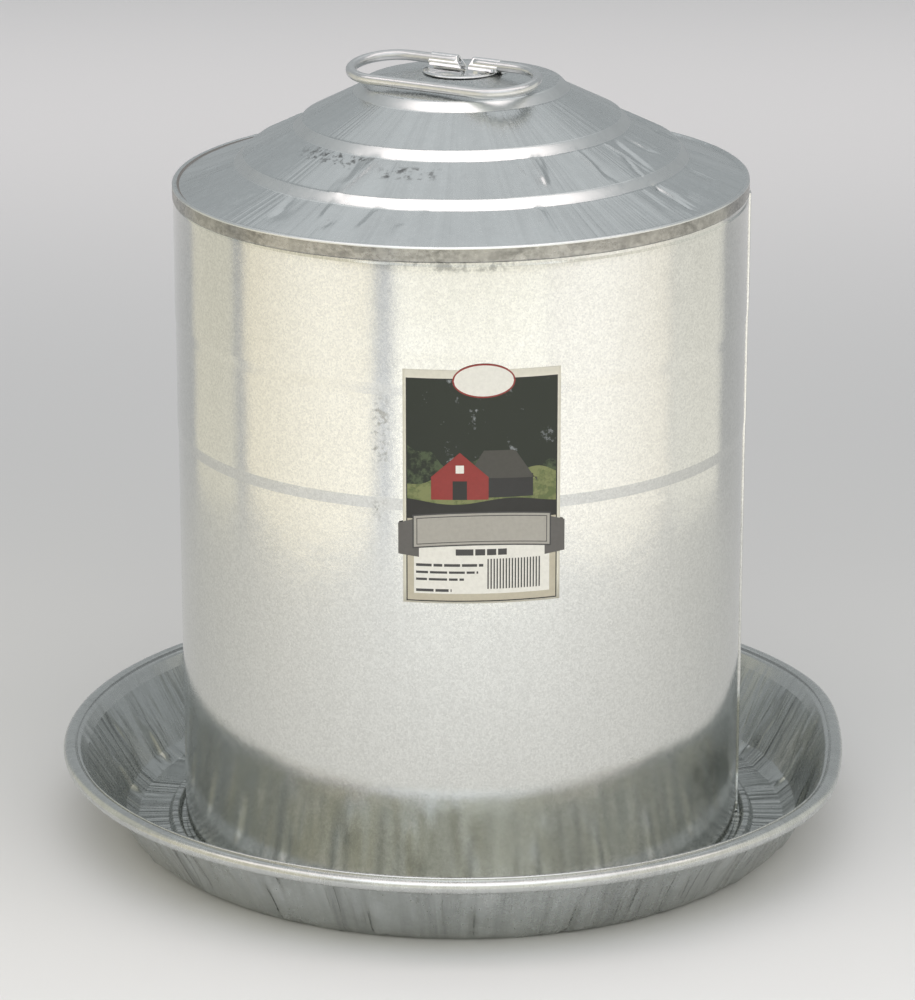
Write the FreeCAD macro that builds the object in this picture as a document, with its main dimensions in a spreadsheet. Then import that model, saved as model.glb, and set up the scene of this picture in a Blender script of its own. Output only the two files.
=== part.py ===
"""Double-wall poultry waterer fount, in galvanised sheet.

A drinking pan carries a fixed, open-topped inner tank.  A closed cover drops over the tank and is
twisted clockwise to lock under the tank's lugs; the same twist lets a cam push the outlet valve's
lever open.  A wire bail on the cover's cap is the carrying handle.

Frame: millimetres, +Z up, origin at the centre of the pan's underside.  The label faces -Y, the
cover's vertical lock seam is at +X and the outlet valve is at +Y.
"""
import FreeCAD
import Part
import math
import os
import Sketcher

DIMENSIONS = [
    # alias, value, meaning
    ("sheet", 0.8, "thickness of the galvanised sheet"),
    ("pan_foot_radius", 172.4, "radius of the pan's flat underside"),
    ("pan_knee_radius", 177.6, "where the pan's corner fillet turns into its wall"),
    ("pan_knee_height", 5.0, "height of that knee"),
    ("pan_radius", 209.8, "outermost radius of the pan's rolled rim"),
    ("pan_height", 46.0, "top of the pan's rolled rim"),
    ("roll", 3.4, "radius of the rolled rim's section"),
    ("rim_wall", 5.44, "how far inside the pan's edge its sloping wall runs into the rolled rim"),
    ("bead_radius", 151.8, "middle of the pan floor's raised bead, round the cover's foot"),
    ("bead_width", 6.0, "width of that bead at the floor"),
    ("bead_crest", 2.2, "width of that bead at its top"),
    ("bead_height", 3.6, "height of that bead above the floor"),
    ("tank_radius", 139.0, "outside radius of the inner tank"),
    ("tank_top", 325.0, "top edge of the inner tank's wall"),
    ("tank_hem", 1.8, "radius of the wired edge round the tank's mouth"),
    ("tank_floor", 4.8, "top of the tank's own bottom"),
    ("solder", 2.4, "leg of the solder fillet round the tank's bottom"),
    ("seam_width", 6.0, "width of the vertical lock seams"),
    ("seam_fold", 1.3, "how far a lock seam stands off its wall"),
    ("seam_foot", 1.0, "gap between the tank's lock seam and the solder below it"),
    ("cover_radius", 146.0, "outside radius of the cover's lowest section"),
    ("swage_step", 0.3, "how much each higher section of the cover is larger in radius"),
    ("swage_rise", 6.0, "height of each swaged step"),
    ("swage_low", 221.0, "top of the lower swaged step"),
    ("swage_high", 279.0, "top of the upper swaged step"),
    ("cover_foot", 1.2, "bottom edge of the cover"),
    ("cover_hem", 9.0, "height of the folded hem inside the cover's foot"),
    ("cover_top", 346.0, "top edge of the cover's wall, inside the chime"),
    ("cover_neck", 0.5, "how far the wall is drawn in under the chime"),
    ("neck_rise", 1.2, "height of that neck's slope"),
    ("notch_width", 22.0, "width of the water notch in the cover's foot"),
    ("notch_height", 20.0, "top of the water notch"),
    ("notch_azimuth", 60.0, "where the water notch is, in degrees"),
    ("notch_reach", 10.0, "how far the notch's cut runs past the wall and below the foot"),
    ("seam_azimuth", 0.001, "where the cover's lock seam is, in degrees; exactly 0 would unset the turn"),
    ("vent", 1.6, "radius of the pin hole at the top of the cover's seam"),
    ("vent_height", 335.0, "height of that pin hole"),
    ("chime_radius", 147.0, "outside radius of the double seam between cap and wall"),
    ("chime_top", 347.6, "top of the double seam"),
    ("chime_height", 8.2, "height of the double seam"),
    ("well_radius", 144.6, "radius of the shallow groove inside the chime"),
    ("well_drop", 0.9, "depth of that groove below the chime"),
    ("well_slope", 1.2, "how far the step down into the groove leans in"),
    ("zone_outer", 115.5, "radius where the cap's first riser starts"),
    ("zone_middle", 85.3, "radius where the cap's second riser starts"),
    ("zone_inner", 54.6, "radius where the cap's third riser starts"),
    ("height_outer", 357.4, "cap height at the first riser's foot"),
    ("height_middle", 374.8, "cap height at the second riser's foot"),
    ("height_inner", 392.6, "cap height at the third riser's foot"),
    ("riser_run", 4.4, "how far a riser leans in"),
    ("riser_rise", 4.7, "how far a riser climbs"),
    ("crown_radius", 21.5, "radius of the flat seat at the cap's centre"),
    ("crown_height", 401.5, "height of that seat"),
    ("seal_leg", 3.2, "leg of the sealing compound's section in the chime"),
    ("gap", 0.3, "play between neighbours that move past each other"),
    ("contact", 0.05, "clearance between plates that are fastened face to face"),
    ("fit", 0.02, "clearance round a rivet, an eyelet or under a head"),
    ("rivet_shank", 1.2, "radius of the plate rivets"),
    ("rivet_head", 2.1, "radius of their heads"),
    ("rivet_rise", 0.7, "height of their heads"),
    ("eyelet_bore", 2.6, "radius of the outlet hole"),
    ("eyelet_wall", 0.6, "wall of the outlet eyelet"),
    ("eyelet_flange", 4.4, "radius of the eyelet's rolled flange"),
    ("sagitta", 0.2, "how far the eyelet's inner flange stands off the curved wall"),
    ("outlet_height", 15.0, "height of the outlet"),
    ("outlet_azimuth", 83.9, "where the outlet is, in degrees"),
    ("pivot_azimuth", 90.0, "where the valve lever's pin is, in degrees"),
    ("pivot_radius", 142.0, "distance of the valve pin from the fount's axis"),
    ("pin_radius", 1.2, "radius of the valve pin"),
    ("ear_low", 9.0, "underside of the valve bracket's lower ear"),
    ("ear_high", 21.0, "underside of the valve bracket's upper ear"),
    ("bracket_top", 37.0, "top of the valve bracket's plate"),
    ("bracket_half", 1.8, "half width of that plate, in degrees"),
    ("ear_half", 1.4, "half width of its ears, in degrees"),
    ("ear_overhang", 2.0, "how far the ears reach past the pin's centre"),
    ("bracket_rivet_drop", 4.0, "depth of the bracket's upper rivet below its top"),
    ("bracket_rivet_pitch", 6.0, "distance from that rivet to the lower one"),
    ("pin_head", 1.9, "radius of the valve pin's heads"),
    ("pin_head_height", 0.9, "height of those heads"),
    ("lever_inner", 141.45, "inner radius of the valve lever's arm"),
    ("hub_radius", 2.0, "radius of the lever's hub"),
    ("spring_room", 4.0, "room for the spring between the hub and the upper ear"),
    ("tail_sweep", 8.2, "how far the lever's tail reaches past the pin, in degrees"),
    ("tail_lift", 1.65, "how far the tail leans out over that reach"),
    ("tip_sweep", 2.0, "width of the raised tip at the tail's end, in degrees"),
    ("tip_lean", 1.254, "how far the tail has leant out where the tip starts"),
    ("cam_low", 23.4, "underside of the valve cam"),
    ("cam_high", 28.0, "top of the valve cam and of the lever's tip"),
    ("cam_lead", 0.6, "length of the cam before it reaches the tail, in degrees"),
    ("cam_slope", 0.18833, "how far the cam closes in for each degree of twist"),
    ("cam_dwell", 1.3, "length of the cam past the full twist, in degrees"),
    ("cam_return", 4.0, "length over which the cam runs back to the wall, in degrees"),
    ("cam_foot", 6.0, "length of the cam's welded end, in degrees"),
    ("pad_radius", 4.2, "radius of the rubber valve pad"),
    ("pad_rivet_shank", 0.9, "radius of the pad's rivet"),
    ("pad_rivet_head", 1.8, "radius of that rivet's head"),
    ("spring_coil", 1.85, "radius of the valve spring's coil"),
    ("spring_wire", 0.25, "radius of its wire"),
    ("spring_pitch", 0.75, "distance between its turns"),
    ("spring_turns", 3.0, "number of its turns"),
    ("twist", 12.0, "how far the cover turns to lock, in degrees"),
    ("lug_height", 60.0, "underside of the tank's lock lugs"),
    ("lug_azimuth", 18.0, "where the first lock lug is, in degrees"),
    ("lug_count", 3.0, "number of lock lugs, evenly spaced"),
    ("lug_width", 5.0, "width of a lug or tab, in degrees"),
    ("lug_plate", 13.0, "height of the lugs' and tabs' plates"),
    ("lug_rivet_height", 8.0, "height of a lug's rivets above its underside"),
    ("lug_play", 0.5, "drop from the lugs' underside to the tabs' top"),
    ("lug_tip", 143.2, "radius of the lugs' free edge"),
    ("tab_tip", 141.0, "radius of the tabs' free edge"),
    ("disc_radius", 19.3, "radius of the bail bracket's disc"),
    ("disc_sheet", 1.0, "thickness of the bail bracket"),
    ("hinge_height", 406.7, "height of the bail's hinge line"),
    ("hinge_azimuth", -30.0, "direction of the bail's hinge line, in degrees"),
    ("wire", 2.7, "radius of the bail's wire"),
    ("curl_play", 0.08, "running play between the wire and the curls"),
    ("curl_sheet", 0.9, "thickness of the curls"),
    ("curl_left", 17.3, "how far the left curl reaches from the middle"),
    ("curl_right", 22.7, "how far the right curl reaches from the middle"),
    ("curl_notch", 3.1, "half the notch between the two curls"),
    ("notch_shift", 3.1, "how far that notch is off the middle"),
    ("bail_left", 28.9, "straight length of the bail left of the middle"),
    ("bail_right", 32.0, "straight length of the bail right of the middle"),
    ("bail_bend", 20.4, "radius of the bail's rounded ends"),
    ("bail_end", 5.5, "distance of each wire end from the middle of the notch"),
    ("bail_droop", 6.6, "how far the bail slopes down at rest, in degrees"),
    ("label_low", 167.5, "bottom of the label"),
    ("label_high", 291.3, "top of the label"),
    ("label_width", 32.4, "width of the label, in degrees"),
    ("label_azimuth", -85.9, "middle of the label, in degrees"),
    ("paper", 0.25, "thickness of the label"),
]

doc = FreeCAD.newDocument("waterer_fount")
dims = doc.addObject("Spreadsheet::Sheet", "dims")
for row, (alias, value, meaning) in enumerate(DIMENSIONS, start=1):
    dims.set("A%d" % row, meaning)
    dims.set("B%d" % row, str(value))
    dims.setAlias("B%d" % row, alias)
doc.recompute()

sub_parts = []


def size(alias):
    """The value of one driving dimension."""
    return float(dims.get(alias))


def keep(piece, label):
    """Give a finished sub-part the name that its file gets."""
    piece.Label = label
    sub_parts.append(piece)
    return piece


# --- sketches and PartDesign features -------------------------------------------------------------

def new_body(name):
    return doc.addObject("PartDesign::Body", name)


# a new outline starts as a regular polygon of this size, until its constraints place it
ROUGH_SIZE = 50

# sides of the polygons that stand for the rolled rim and for the tank's wired edge
RIM_SIDES = 12
HEM_SIDES = 8


def origin_plane(body, role):
    return next(item for item in body.Origin.OriginFeatures if item.Role == role)


def outline(body, name, corners, azimuth=None):
    """A closed polygon whose (radius, height) corners are expressions, upright on the fount's axis."""
    sketch = body.newObject("Sketcher::SketchObject", name)
    sketch.AttachmentSupport = [(origin_plane(body, "XZ_Plane"), "")]
    sketch.MapMode = "FlatFace"
    if azimuth is not None:
        turn = FreeCAD.Rotation(FreeCAD.Vector(0, 1, 0), 1.0)
        sketch.AttachmentOffset = FreeCAD.Placement(FreeCAD.Vector(), turn)
        sketch.setExpression("AttachmentOffset.Rotation.Angle", azimuth)
    count = len(corners)
    start = [FreeCAD.Vector(2 * ROUGH_SIZE + ROUGH_SIZE * math.cos(2 * math.pi * i / count),
                            ROUGH_SIZE * math.sin(2 * math.pi * i / count), 0) for i in range(count)]
    for i in range(count):
        sketch.addGeometry(Part.LineSegment(start[i], start[(i + 1) % count]))
    for i in range(count):
        sketch.addConstraint(Sketcher.Constraint("Coincident", i, 2, (i + 1) % count, 1))
    for i, (across, up) in enumerate(corners):
        for kind, expression in (("DistanceX", across), ("DistanceY", up)):
            index = sketch.addConstraint(Sketcher.Constraint(kind, -1, 1, i, 1, 1.0))
            sketch.setExpression("Constraints[%d]" % index, expression)
    return sketch


def revolve(body, name, corners, degrees=None):
    """Turn a half section of (radius, height) corners about the body's own Z axis."""
    turned = body.newObject("PartDesign::Revolution", name)
    turned.Profile = outline(body, name + "_outline", corners)
    turned.ReferenceAxis = (turned.Profile[0], ["V_Axis"])
    turned.Angle = 360
    if degrees is not None:
        turned.Midplane = True
        turned.setExpression("Angle", degrees)
    return turned


def bar(body, name, corners, width):
    """Add a bar with a (radius, height) section, centred on the body's +X side."""
    added = body.newObject("PartDesign::Pad", name)
    added.Profile = outline(body, name + "_outline", corners)
    added.Midplane = True
    added.setExpression("Length", width)
    return added


def radial_pocket(body, name, corners, width, azimuth):
    """Cut a slot with a (radius, height) section through the wall at one azimuth."""
    cut = body.newObject("PartDesign::Pocket", name)
    cut.Profile = outline(body, name + "_outline", corners, azimuth=azimuth)
    cut.Midplane = True
    cut.setExpression("Length", width)
    return cut


def radial_hole(body, name, radius, height, azimuth):
    """Drill the wall once, from the body's axis outwards, at one azimuth."""
    cut = body.newObject("PartDesign::SubtractiveCylinder", name)
    cut.AttachmentSupport = [(origin_plane(body, "YZ_Plane"), "")]
    cut.MapMode = "FlatFace"
    turn = FreeCAD.Rotation(FreeCAD.Vector(0, 1, 0), 1.0)
    cut.AttachmentOffset = FreeCAD.Placement(FreeCAD.Vector(), turn)
    cut.setExpression("AttachmentOffset.Rotation.Angle", azimuth)
    cut.setExpression("AttachmentOffset.Base.y", height)
    cut.setExpression("Radius", radius)
    cut.setExpression("Height", "dims.chime_radius")
    return cut


def thick(line, across="0", up="0"):
    """Close a line of corners with its own copy, shifted by the sheet's thickness."""
    shifted = [("%s + %s" % (x, across), "%s + %s" % (z, up)) for x, z in reversed(line)]
    return line + shifted


def round_section(across, up, radius, sides):
    """A round section as a polygon, round a centre; all three sizes are expressions."""
    turns = [2 * math.pi * i / sides for i in range(sides)]
    return [("%s + %s * (%.4f)" % (across, radius, math.cos(turn)),
             "%s + %s * (%.4f)" % (up, radius, math.sin(turn))) for turn in turns]


def rectangle(inner, outer, low, high):
    return [(inner, low), (outer, low), (outer, high), (inner, high)]


# --- bent strips, rivets and wire made with Part's own functions ----------------------------------

def polar(radius, azimuth, height=0.0):
    angle = math.radians(azimuth)
    return FreeCAD.Vector(radius * math.cos(angle), radius * math.sin(angle), height)


def bent_strip(stations, thickness, low, high):
    """A strip bent round the fount's axis: stations are (azimuth, inner radius), radius running
    evenly from one station to the next."""
    edges = []
    for start, end in zip(stations, stations[1:]):
        middle = ((start[0] + end[0]) / 2, (start[1] + end[1]) / 2)
        for extra, first, last in ((0.0, start, end), (thickness, end, start)):
            points = [polar(radius + extra, azimuth, low) for azimuth, radius in (first, middle, last)]
            edges.append(Part.Arc(*points).toShape())
    for azimuth, radius in (stations[0], stations[-1]):
        edges.append(Part.makeLine(polar(radius, azimuth, low), polar(radius + thickness, azimuth, low)))
    wire = Part.Wire(Part.__sortEdges__(edges))
    return Part.Face(wire).extrude(FreeCAD.Vector(0, 0, high - low))


def radial_rod(radius, azimuth, height, start, end):
    """A round rod that points away from the fount's axis, from radius start to radius end."""
    return Part.makeCylinder(radius, end - start, polar(start, azimuth, height), polar(1, azimuth))


def rivet(azimuth, height, inner, outer):
    """A rivet through plates between radius inner and radius outer, with a flat head each side."""
    rise = size("rivet_rise")
    head = size("rivet_head")
    shank = radial_rod(size("rivet_shank"), azimuth, height, inner - rise, outer + rise)
    heads = [radial_rod(head, azimuth, height, inner - rise, inner - size("fit")),
             radial_rod(head, azimuth, height, outer + size("fit"), outer + rise)]
    return shank.fuse(heads).removeSplitter()


def rivet_hole(azimuth, height):
    """A rod that cuts the hole for a plate rivet through the parts outside the tank."""
    return radial_rod(size("rivet_shank") + size("fit"), azimuth, height,
                      size("tank_radius") - size("contact"), size("cover_radius"))


def feature(label, shape):
    piece = doc.addObject("Part::Feature", label)
    piece.Shape = shape
    return keep(piece, label)


# --- the pan and the inner tank -------------------------------------------------------------------

def make_pan():
    body = new_body("pan")
    line = [
        ("0", "0"),
        ("dims.bead_radius - dims.bead_width / 2", "0"),
        ("dims.bead_radius - dims.bead_crest / 2", "dims.bead_height"),
        ("dims.bead_radius + dims.bead_crest / 2", "dims.bead_height"),
        ("dims.bead_radius + dims.bead_width / 2", "0"),
        ("dims.pan_foot_radius", "0"),
        ("dims.pan_knee_radius", "dims.pan_knee_height"),
        ("dims.pan_radius - dims.rim_wall", "dims.pan_height - dims.roll"),
    ]
    revolve(body, "pan_sheet", thick(line, up="dims.sheet"))
    revolve(body, "pan_rolled_rim",
            round_section("dims.pan_radius - dims.roll", "dims.pan_height - dims.roll", "dims.roll",
                          RIM_SIDES))
    keep(body, "pan")


def make_tank_shell():
    body = new_body("tank_shell")
    revolve(body, "tank_wall", rectangle("dims.tank_radius - dims.sheet", "dims.tank_radius",
                                         "dims.sheet", "dims.tank_top"))
    revolve(body, "tank_wired_edge",
            round_section("dims.tank_radius - dims.sheet / 2", "dims.tank_top", "dims.tank_hem", HEM_SIDES))
    bar(body, "tank_lock_seam",
        rectangle("dims.tank_radius - dims.sheet - dims.seam_fold", "dims.tank_radius - dims.sheet / 2",
                  "dims.tank_floor + dims.solder + dims.seam_foot", "dims.tank_top"), "dims.seam_width")
    radial_hole(body, "outlet_hole", "dims.eyelet_bore + dims.eyelet_wall + dims.fit", "dims.outlet_height",
                "dims.outlet_azimuth")
    shank = "dims.rivet_shank + dims.fit"
    height = "dims.lug_height + dims.lug_rivet_height"
    for i in range(int(size("lug_count"))):
        for side, sign in (("left", "-"), ("right", "+")):
            azimuth = "dims.lug_azimuth + 360 / dims.lug_count * %d %s dims.lug_width / 4" % (i, sign)
            radial_hole(body, "lug_hole_%d_%s" % (i + 1, side), shank, height, azimuth)
    upper = "dims.bracket_top - dims.bracket_rivet_drop"
    lower = upper + " - dims.bracket_rivet_pitch"
    radial_hole(body, "bracket_hole_upper", shank, upper, "dims.pivot_azimuth")
    radial_hole(body, "bracket_hole_lower", shank, lower, "dims.pivot_azimuth")
    keep(body, "tank_shell")


def make_tank_bottom():
    body = new_body("tank_bottom")
    wall = "dims.tank_radius - dims.sheet - dims.contact"
    corners = [
        ("0", "dims.tank_floor - dims.sheet"),
        (wall + " - dims.sheet", "dims.tank_floor - dims.sheet"),
        (wall + " - dims.sheet", "dims.sheet"),
        (wall, "dims.sheet"),
        (wall, "dims.tank_floor"),
        ("0", "dims.tank_floor"),
    ]
    revolve(body, "tank_bottom_disc", corners)
    keep(body, "tank_bottom")


def make_tank_solder():
    body = new_body("tank_solder")
    corner = "dims.tank_radius - dims.sheet"
    revolve(body, "solder_fillet", [(corner, "dims.tank_floor"),
                                    (corner, "dims.tank_floor + dims.solder"),
                                    (corner + " - dims.solder", "dims.tank_floor")])
    keep(body, "tank_solder")


# --- the outlet valve -----------------------------------------------------------------------------

def make_outlet_eyelet():
    azimuth = size("outlet_azimuth")
    height = size("outlet_height")
    bore = size("eyelet_bore")
    wall = size("eyelet_wall")
    flange = size("eyelet_flange")
    outer = size("tank_radius")
    inner = outer - size("sheet") - size("sagitta")
    tube = radial_rod(bore + wall, azimuth, height, inner - wall, outer + wall)
    inside = radial_rod(flange, azimuth, height, inner - wall, inner)
    outside = radial_rod(flange, azimuth, height, outer + size("fit"), outer + wall)
    hole = radial_rod(bore, azimuth, height, inner - 2 * wall, outer + 2 * wall)
    feature("outlet_eyelet", tube.fuse([inside, outside]).cut(hole).removeSplitter())


def make_valve_bracket():
    """A plate riveted to the tank, with two ears bent out to hold the valve pin."""
    azimuth = size("pivot_azimuth")
    sheet = size("sheet")
    foot = size("tank_radius") + size("contact")
    low = size("ear_low")
    top = size("bracket_top")
    half = size("bracket_half")
    plate = bent_strip([(azimuth - half, foot), (azimuth + half, foot)], sheet, low, top)
    reach = size("pivot_radius") + size("ear_overhang") - foot
    half = size("ear_half")
    ears = [bent_strip([(azimuth - half, foot), (azimuth + half, foot)], reach, height, height + sheet)
            for height in (low, size("ear_high"))]
    bores = [Part.makeCylinder(size("pin_radius"), top, polar(size("pivot_radius"), azimuth))]
    upper = top - size("bracket_rivet_drop")
    heights = (upper - size("bracket_rivet_pitch"), upper)
    bores += [rivet_hole(azimuth, height) for height in heights]
    feature("valve_bracket", plate.fuse(ears).cut(bores).removeSplitter())
    rivets = [rivet(azimuth, height, size("tank_radius") - sheet, foot + sheet) for height in heights]
    feature("bracket_rivets", Part.makeCompound(rivets))


def make_valve_pin():
    place = polar(size("pivot_radius"), size("pivot_azimuth"))
    head = size("pin_head_height")
    under = size("ear_low") - size("fit")
    over = size("ear_high") + size("sheet") + size("fit")
    up = FreeCAD.Vector(0, 0, 1)
    shank = Part.makeCylinder(size("pin_radius"), over - under + 2 * head, place + up * (under - head))
    heads = [Part.makeCylinder(size("pin_head"), head, place + up * foot) for foot in (under - head, over)]
    feature("valve_pin", shank.fuse(heads).removeSplitter())


def pad_back():
    """Radius of the face where the pad meets the lever's arm."""
    return size("lever_inner") - 2 * size("contact")


def make_valve_lever():
    """A rocker on the pin: a short arm that carries the pad and a tail that the cam pushes in."""
    azimuth = size("pivot_azimuth")
    inner = size("lever_inner")
    sheet = size("sheet")
    low = size("ear_low") + sheet + size("gap")
    hub_top = size("ear_high") - size("spring_room")
    arm_low = size("outlet_height") - size("pad_radius")
    tail_low = low + size("contact")
    tail_end = (azimuth + size("tail_sweep"), inner + size("tail_lift"))
    tip_start = (tail_end[0] - size("tip_sweep"), inner + size("tip_lean"))
    place = polar(size("pivot_radius"), azimuth)
    hub = Part.makeCylinder(size("hub_radius"), hub_top - low, place + FreeCAD.Vector(0, 0, low))
    arm = bent_strip([(size("outlet_azimuth") - size("bracket_half"), inner), (azimuth, inner)], sheet,
                     arm_low, hub_top)
    tail = bent_strip([(azimuth, inner), tail_end], sheet, tail_low, hub_top)
    tip = bent_strip([tip_start, tail_end], sheet, tail_low, size("cam_high"))
    bores = [Part.makeCylinder(size("pin_radius") + size("contact"), size("cam_high"), place),
             radial_rod(size("pad_rivet_shank") + size("fit"), size("outlet_azimuth"), size("outlet_height"),
                        pad_back(), size("cover_radius"))]
    feature("valve_lever", hub.fuse([arm, tail, tip]).cut(bores).removeSplitter())


def make_valve_pad():
    """A rubber disc on the lever's arm that shuts the outlet, and the rivet that holds it."""
    azimuth = size("outlet_azimuth")
    height = size("outlet_height")
    face = size("tank_radius") + size("eyelet_wall") + size("contact")
    back = pad_back()
    shank = size("pad_rivet_shank")
    pad = radial_rod(size("pad_radius"), azimuth, height, face, back)
    hole = radial_rod(shank, azimuth, height, face - size("gap"), back + size("gap"))
    feature("valve_pad", pad.cut(hole))
    head_low = back + size("sheet") + size("gap")
    head_high = head_low + size("rivet_rise")
    stem = radial_rod(shank, azimuth, height, face + size("gap"), head_high)
    head = radial_rod(size("pad_rivet_head"), azimuth, height, head_low, head_high)
    feature("pad_rivet", stem.fuse(head).removeSplitter())


def make_valve_spring():
    """A torsion spring round the pin, above the lever's hub."""
    coil = size("spring_coil")
    pitch = size("spring_pitch")
    low = size("ear_high") - size("spring_room") + size("spring_pitch")
    helix = Part.makeHelix(pitch, pitch * size("spring_turns"), coil)
    along = FreeCAD.Vector(0, 1, pitch / (2 * math.pi * coil))
    ring = Part.Wire(Part.Edge(Part.Circle(FreeCAD.Vector(coil, 0, 0), along, size("spring_wire"))))
    spring = Part.Wire(helix).makePipeShell([ring], True, True)
    spring.translate(polar(size("pivot_radius"), size("pivot_azimuth"), low))
    feature("valve_spring", spring)


# --- the twist lock -------------------------------------------------------------------------------

def lock_azimuths():
    count = int(size("lug_count"))
    return [size("lug_azimuth") + 360.0 / count * i for i in range(count)]


def make_lock_lugs():
    """Angle clips riveted to the tank; the cover's tabs turn in under their shelves."""
    half = size("lug_width") / 2
    foot = size("tank_radius") + size("contact")
    sheet = size("sheet")
    low = size("lug_height")
    height = low + size("lug_rivet_height")
    lugs = []
    rivets = []
    for azimuth in lock_azimuths():
        ends = [(azimuth - half, foot), (azimuth + half, foot)]
        plate = bent_strip(ends, sheet, low, low + size("lug_plate"))
        shelf = bent_strip(ends, size("lug_tip") - foot, low, low + sheet)
        places = (azimuth - half / 2, azimuth + half / 2)
        holes = [rivet_hole(place, height) for place in places]
        lugs.append(plate.fuse(shelf).cut(holes).removeSplitter())
        rivets += [rivet(place, height, size("tank_radius") - sheet, foot + sheet) for place in places]
    feature("lock_lugs", Part.makeCompound(lugs))
    feature("lug_rivets", Part.makeCompound(rivets))


def make_lock_tabs():
    """Angle clips spot-welded inside the cover, one for each lug."""
    half = size("lug_width") / 2
    sheet = size("sheet")
    wall = size("cover_radius") - sheet - size("contact")
    top = size("lug_height") - size("lug_play")
    tip = size("tab_tip")
    tabs = []
    for azimuth in lock_azimuths():
        start = azimuth + size("twist") - half
        end = azimuth + size("twist") + half
        plate = bent_strip([(start, wall - sheet), (end, wall - sheet)], sheet, top - size("lug_plate"), top)
        shelf = bent_strip([(start, tip), (end, tip)], wall - tip, top - sheet, top)
        tabs.append(plate.fuse(shelf).removeSplitter())
    feature("lock_tabs", Part.makeCompound(tabs))


def make_valve_cam():
    """A strip inside the cover that spirals in by the same amount for every degree of twist."""
    sheet = size("sheet")
    wall = size("cover_radius") - 2 * sheet - size("contact")
    lead = size("pivot_azimuth") + size("tail_sweep")
    sweep = size("twist") + size("cam_dwell")
    back = lead + sweep + size("cam_return")
    stations = [(lead - size("cam_lead"), wall), (lead + sweep, wall - size("cam_slope") * sweep),
                (back, wall), (back + size("cam_foot"), wall)]
    feature("valve_cam", bent_strip(stations, sheet, size("cam_low"), size("cam_high")))


# --- the cover ------------------------------------------------------------------------------------

def cover_line():
    """The cover's outside from foot to chime, as (radius, height) corners."""
    lower = "dims.cover_radius"
    middle = "dims.cover_radius + dims.swage_step"
    upper = "dims.cover_radius + 2 * dims.swage_step"
    return [
        (lower, "dims.cover_foot"),
        (lower, "dims.swage_low - dims.swage_rise"),
        (middle, "dims.swage_low"),
        (middle, "dims.swage_high - dims.swage_rise"),
        (upper, "dims.swage_high"),
        (upper, "dims.chime_top - dims.chime_height - dims.neck_rise"),
        (upper + " - dims.cover_neck", "dims.chime_top - dims.chime_height"),
        (upper + " - dims.cover_neck", "dims.cover_top"),
    ]


def make_cover_shell():
    body = new_body("cover_shell")
    revolve(body, "cover_wall", thick(cover_line(), across="-dims.sheet"))
    revolve(body, "cover_foot_hem",
            rectangle("dims.cover_radius - 2 * dims.sheet", "dims.cover_radius - dims.sheet / 2",
                      "dims.cover_foot", "dims.cover_foot + dims.cover_hem"))
    seam = rectangle("dims.cover_radius - dims.sheet / 2",
                     "dims.cover_radius + 2 * dims.swage_step + dims.seam_fold",
                     "dims.cover_foot", "dims.chime_top - dims.chime_height - dims.neck_rise")
    bar(body, "cover_lock_seam", seam, "dims.seam_width")
    radial_pocket(body, "water_notch",
                  rectangle("dims.cover_radius - dims.notch_reach", "dims.cover_radius + dims.notch_reach",
                            "dims.cover_foot - dims.notch_reach", "dims.notch_height"),
                  "dims.notch_width", "dims.notch_azimuth")
    radial_hole(body, "seam_pin_hole", "dims.vent", "dims.vent_height", "dims.seam_azimuth")
    keep(body, "cover_shell")


def make_cover_cap():
    body = new_body("cover_cap")
    crest = [
        ("dims.chime_radius", "dims.chime_top"),
        ("dims.well_radius + dims.well_slope", "dims.chime_top"),
        ("dims.well_radius", "dims.chime_top - dims.well_drop"),
        ("dims.zone_outer", "dims.height_outer"),
        ("dims.zone_outer - dims.riser_run", "dims.height_outer + dims.riser_rise"),
        ("dims.zone_middle", "dims.height_middle"),
        ("dims.zone_middle - dims.riser_run", "dims.height_middle + dims.riser_rise"),
        ("dims.zone_inner", "dims.height_inner"),
        ("dims.zone_inner - dims.riser_run", "dims.height_inner + dims.riser_rise"),
        ("dims.crown_radius", "dims.crown_height"),
        ("0", "dims.crown_height"),
    ]
    revolve(body, "cap_panel", thick(crest, up="-dims.sheet"))
    inner = "dims.cover_radius + 2 * dims.swage_step - dims.cover_neck + dims.contact"
    revolve(body, "cap_chime", rectangle(inner, "dims.chime_radius", "dims.chime_top - dims.chime_height",
                                         "dims.chime_top - dims.sheet / 2"))
    keep(body, "cover_cap")


def make_cap_seal():
    """The ring of sealing compound in the chime's inner corner."""
    body = new_body("cap_seal_ring")
    outer = "dims.cover_radius + 2 * dims.swage_step - dims.cover_neck - dims.sheet - dims.gap"
    top = "dims.chime_top - dims.well_drop - dims.sheet - dims.gap"
    revolve(body, "seal_section", [(outer, top), (outer, top + " - dims.seal_leg"),
                                   (outer + " - dims.seal_leg", top)])
    keep(body, "cap_seal_ring")


def make_label():
    """A paper label, stiff enough to stand straight over both swaged steps of the wall."""
    body = new_body("label")
    inner = "dims.cover_radius + 2 * dims.swage_step + dims.contact"
    section = rectangle(inner, inner + " + dims.paper", "dims.label_low", "dims.label_high")
    revolve(body, "label_paper", section, "dims.label_width")
    body.Placement = FreeCAD.Placement(FreeCAD.Vector(),
                                       FreeCAD.Rotation(FreeCAD.Vector(0, 0, 1), size("label_azimuth")))
    keep(body, "label")


# --- the bail and its bracket ---------------------------------------------------------------------

def hinge_placement():
    """Local X runs along the hinge line, and local -Y is the side that the bail rests on."""
    turn = FreeCAD.Rotation(FreeCAD.Vector(0, 0, 1), size("hinge_azimuth"))
    return FreeCAD.Placement(FreeCAD.Vector(0, 0, size("hinge_height")), turn)


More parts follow.
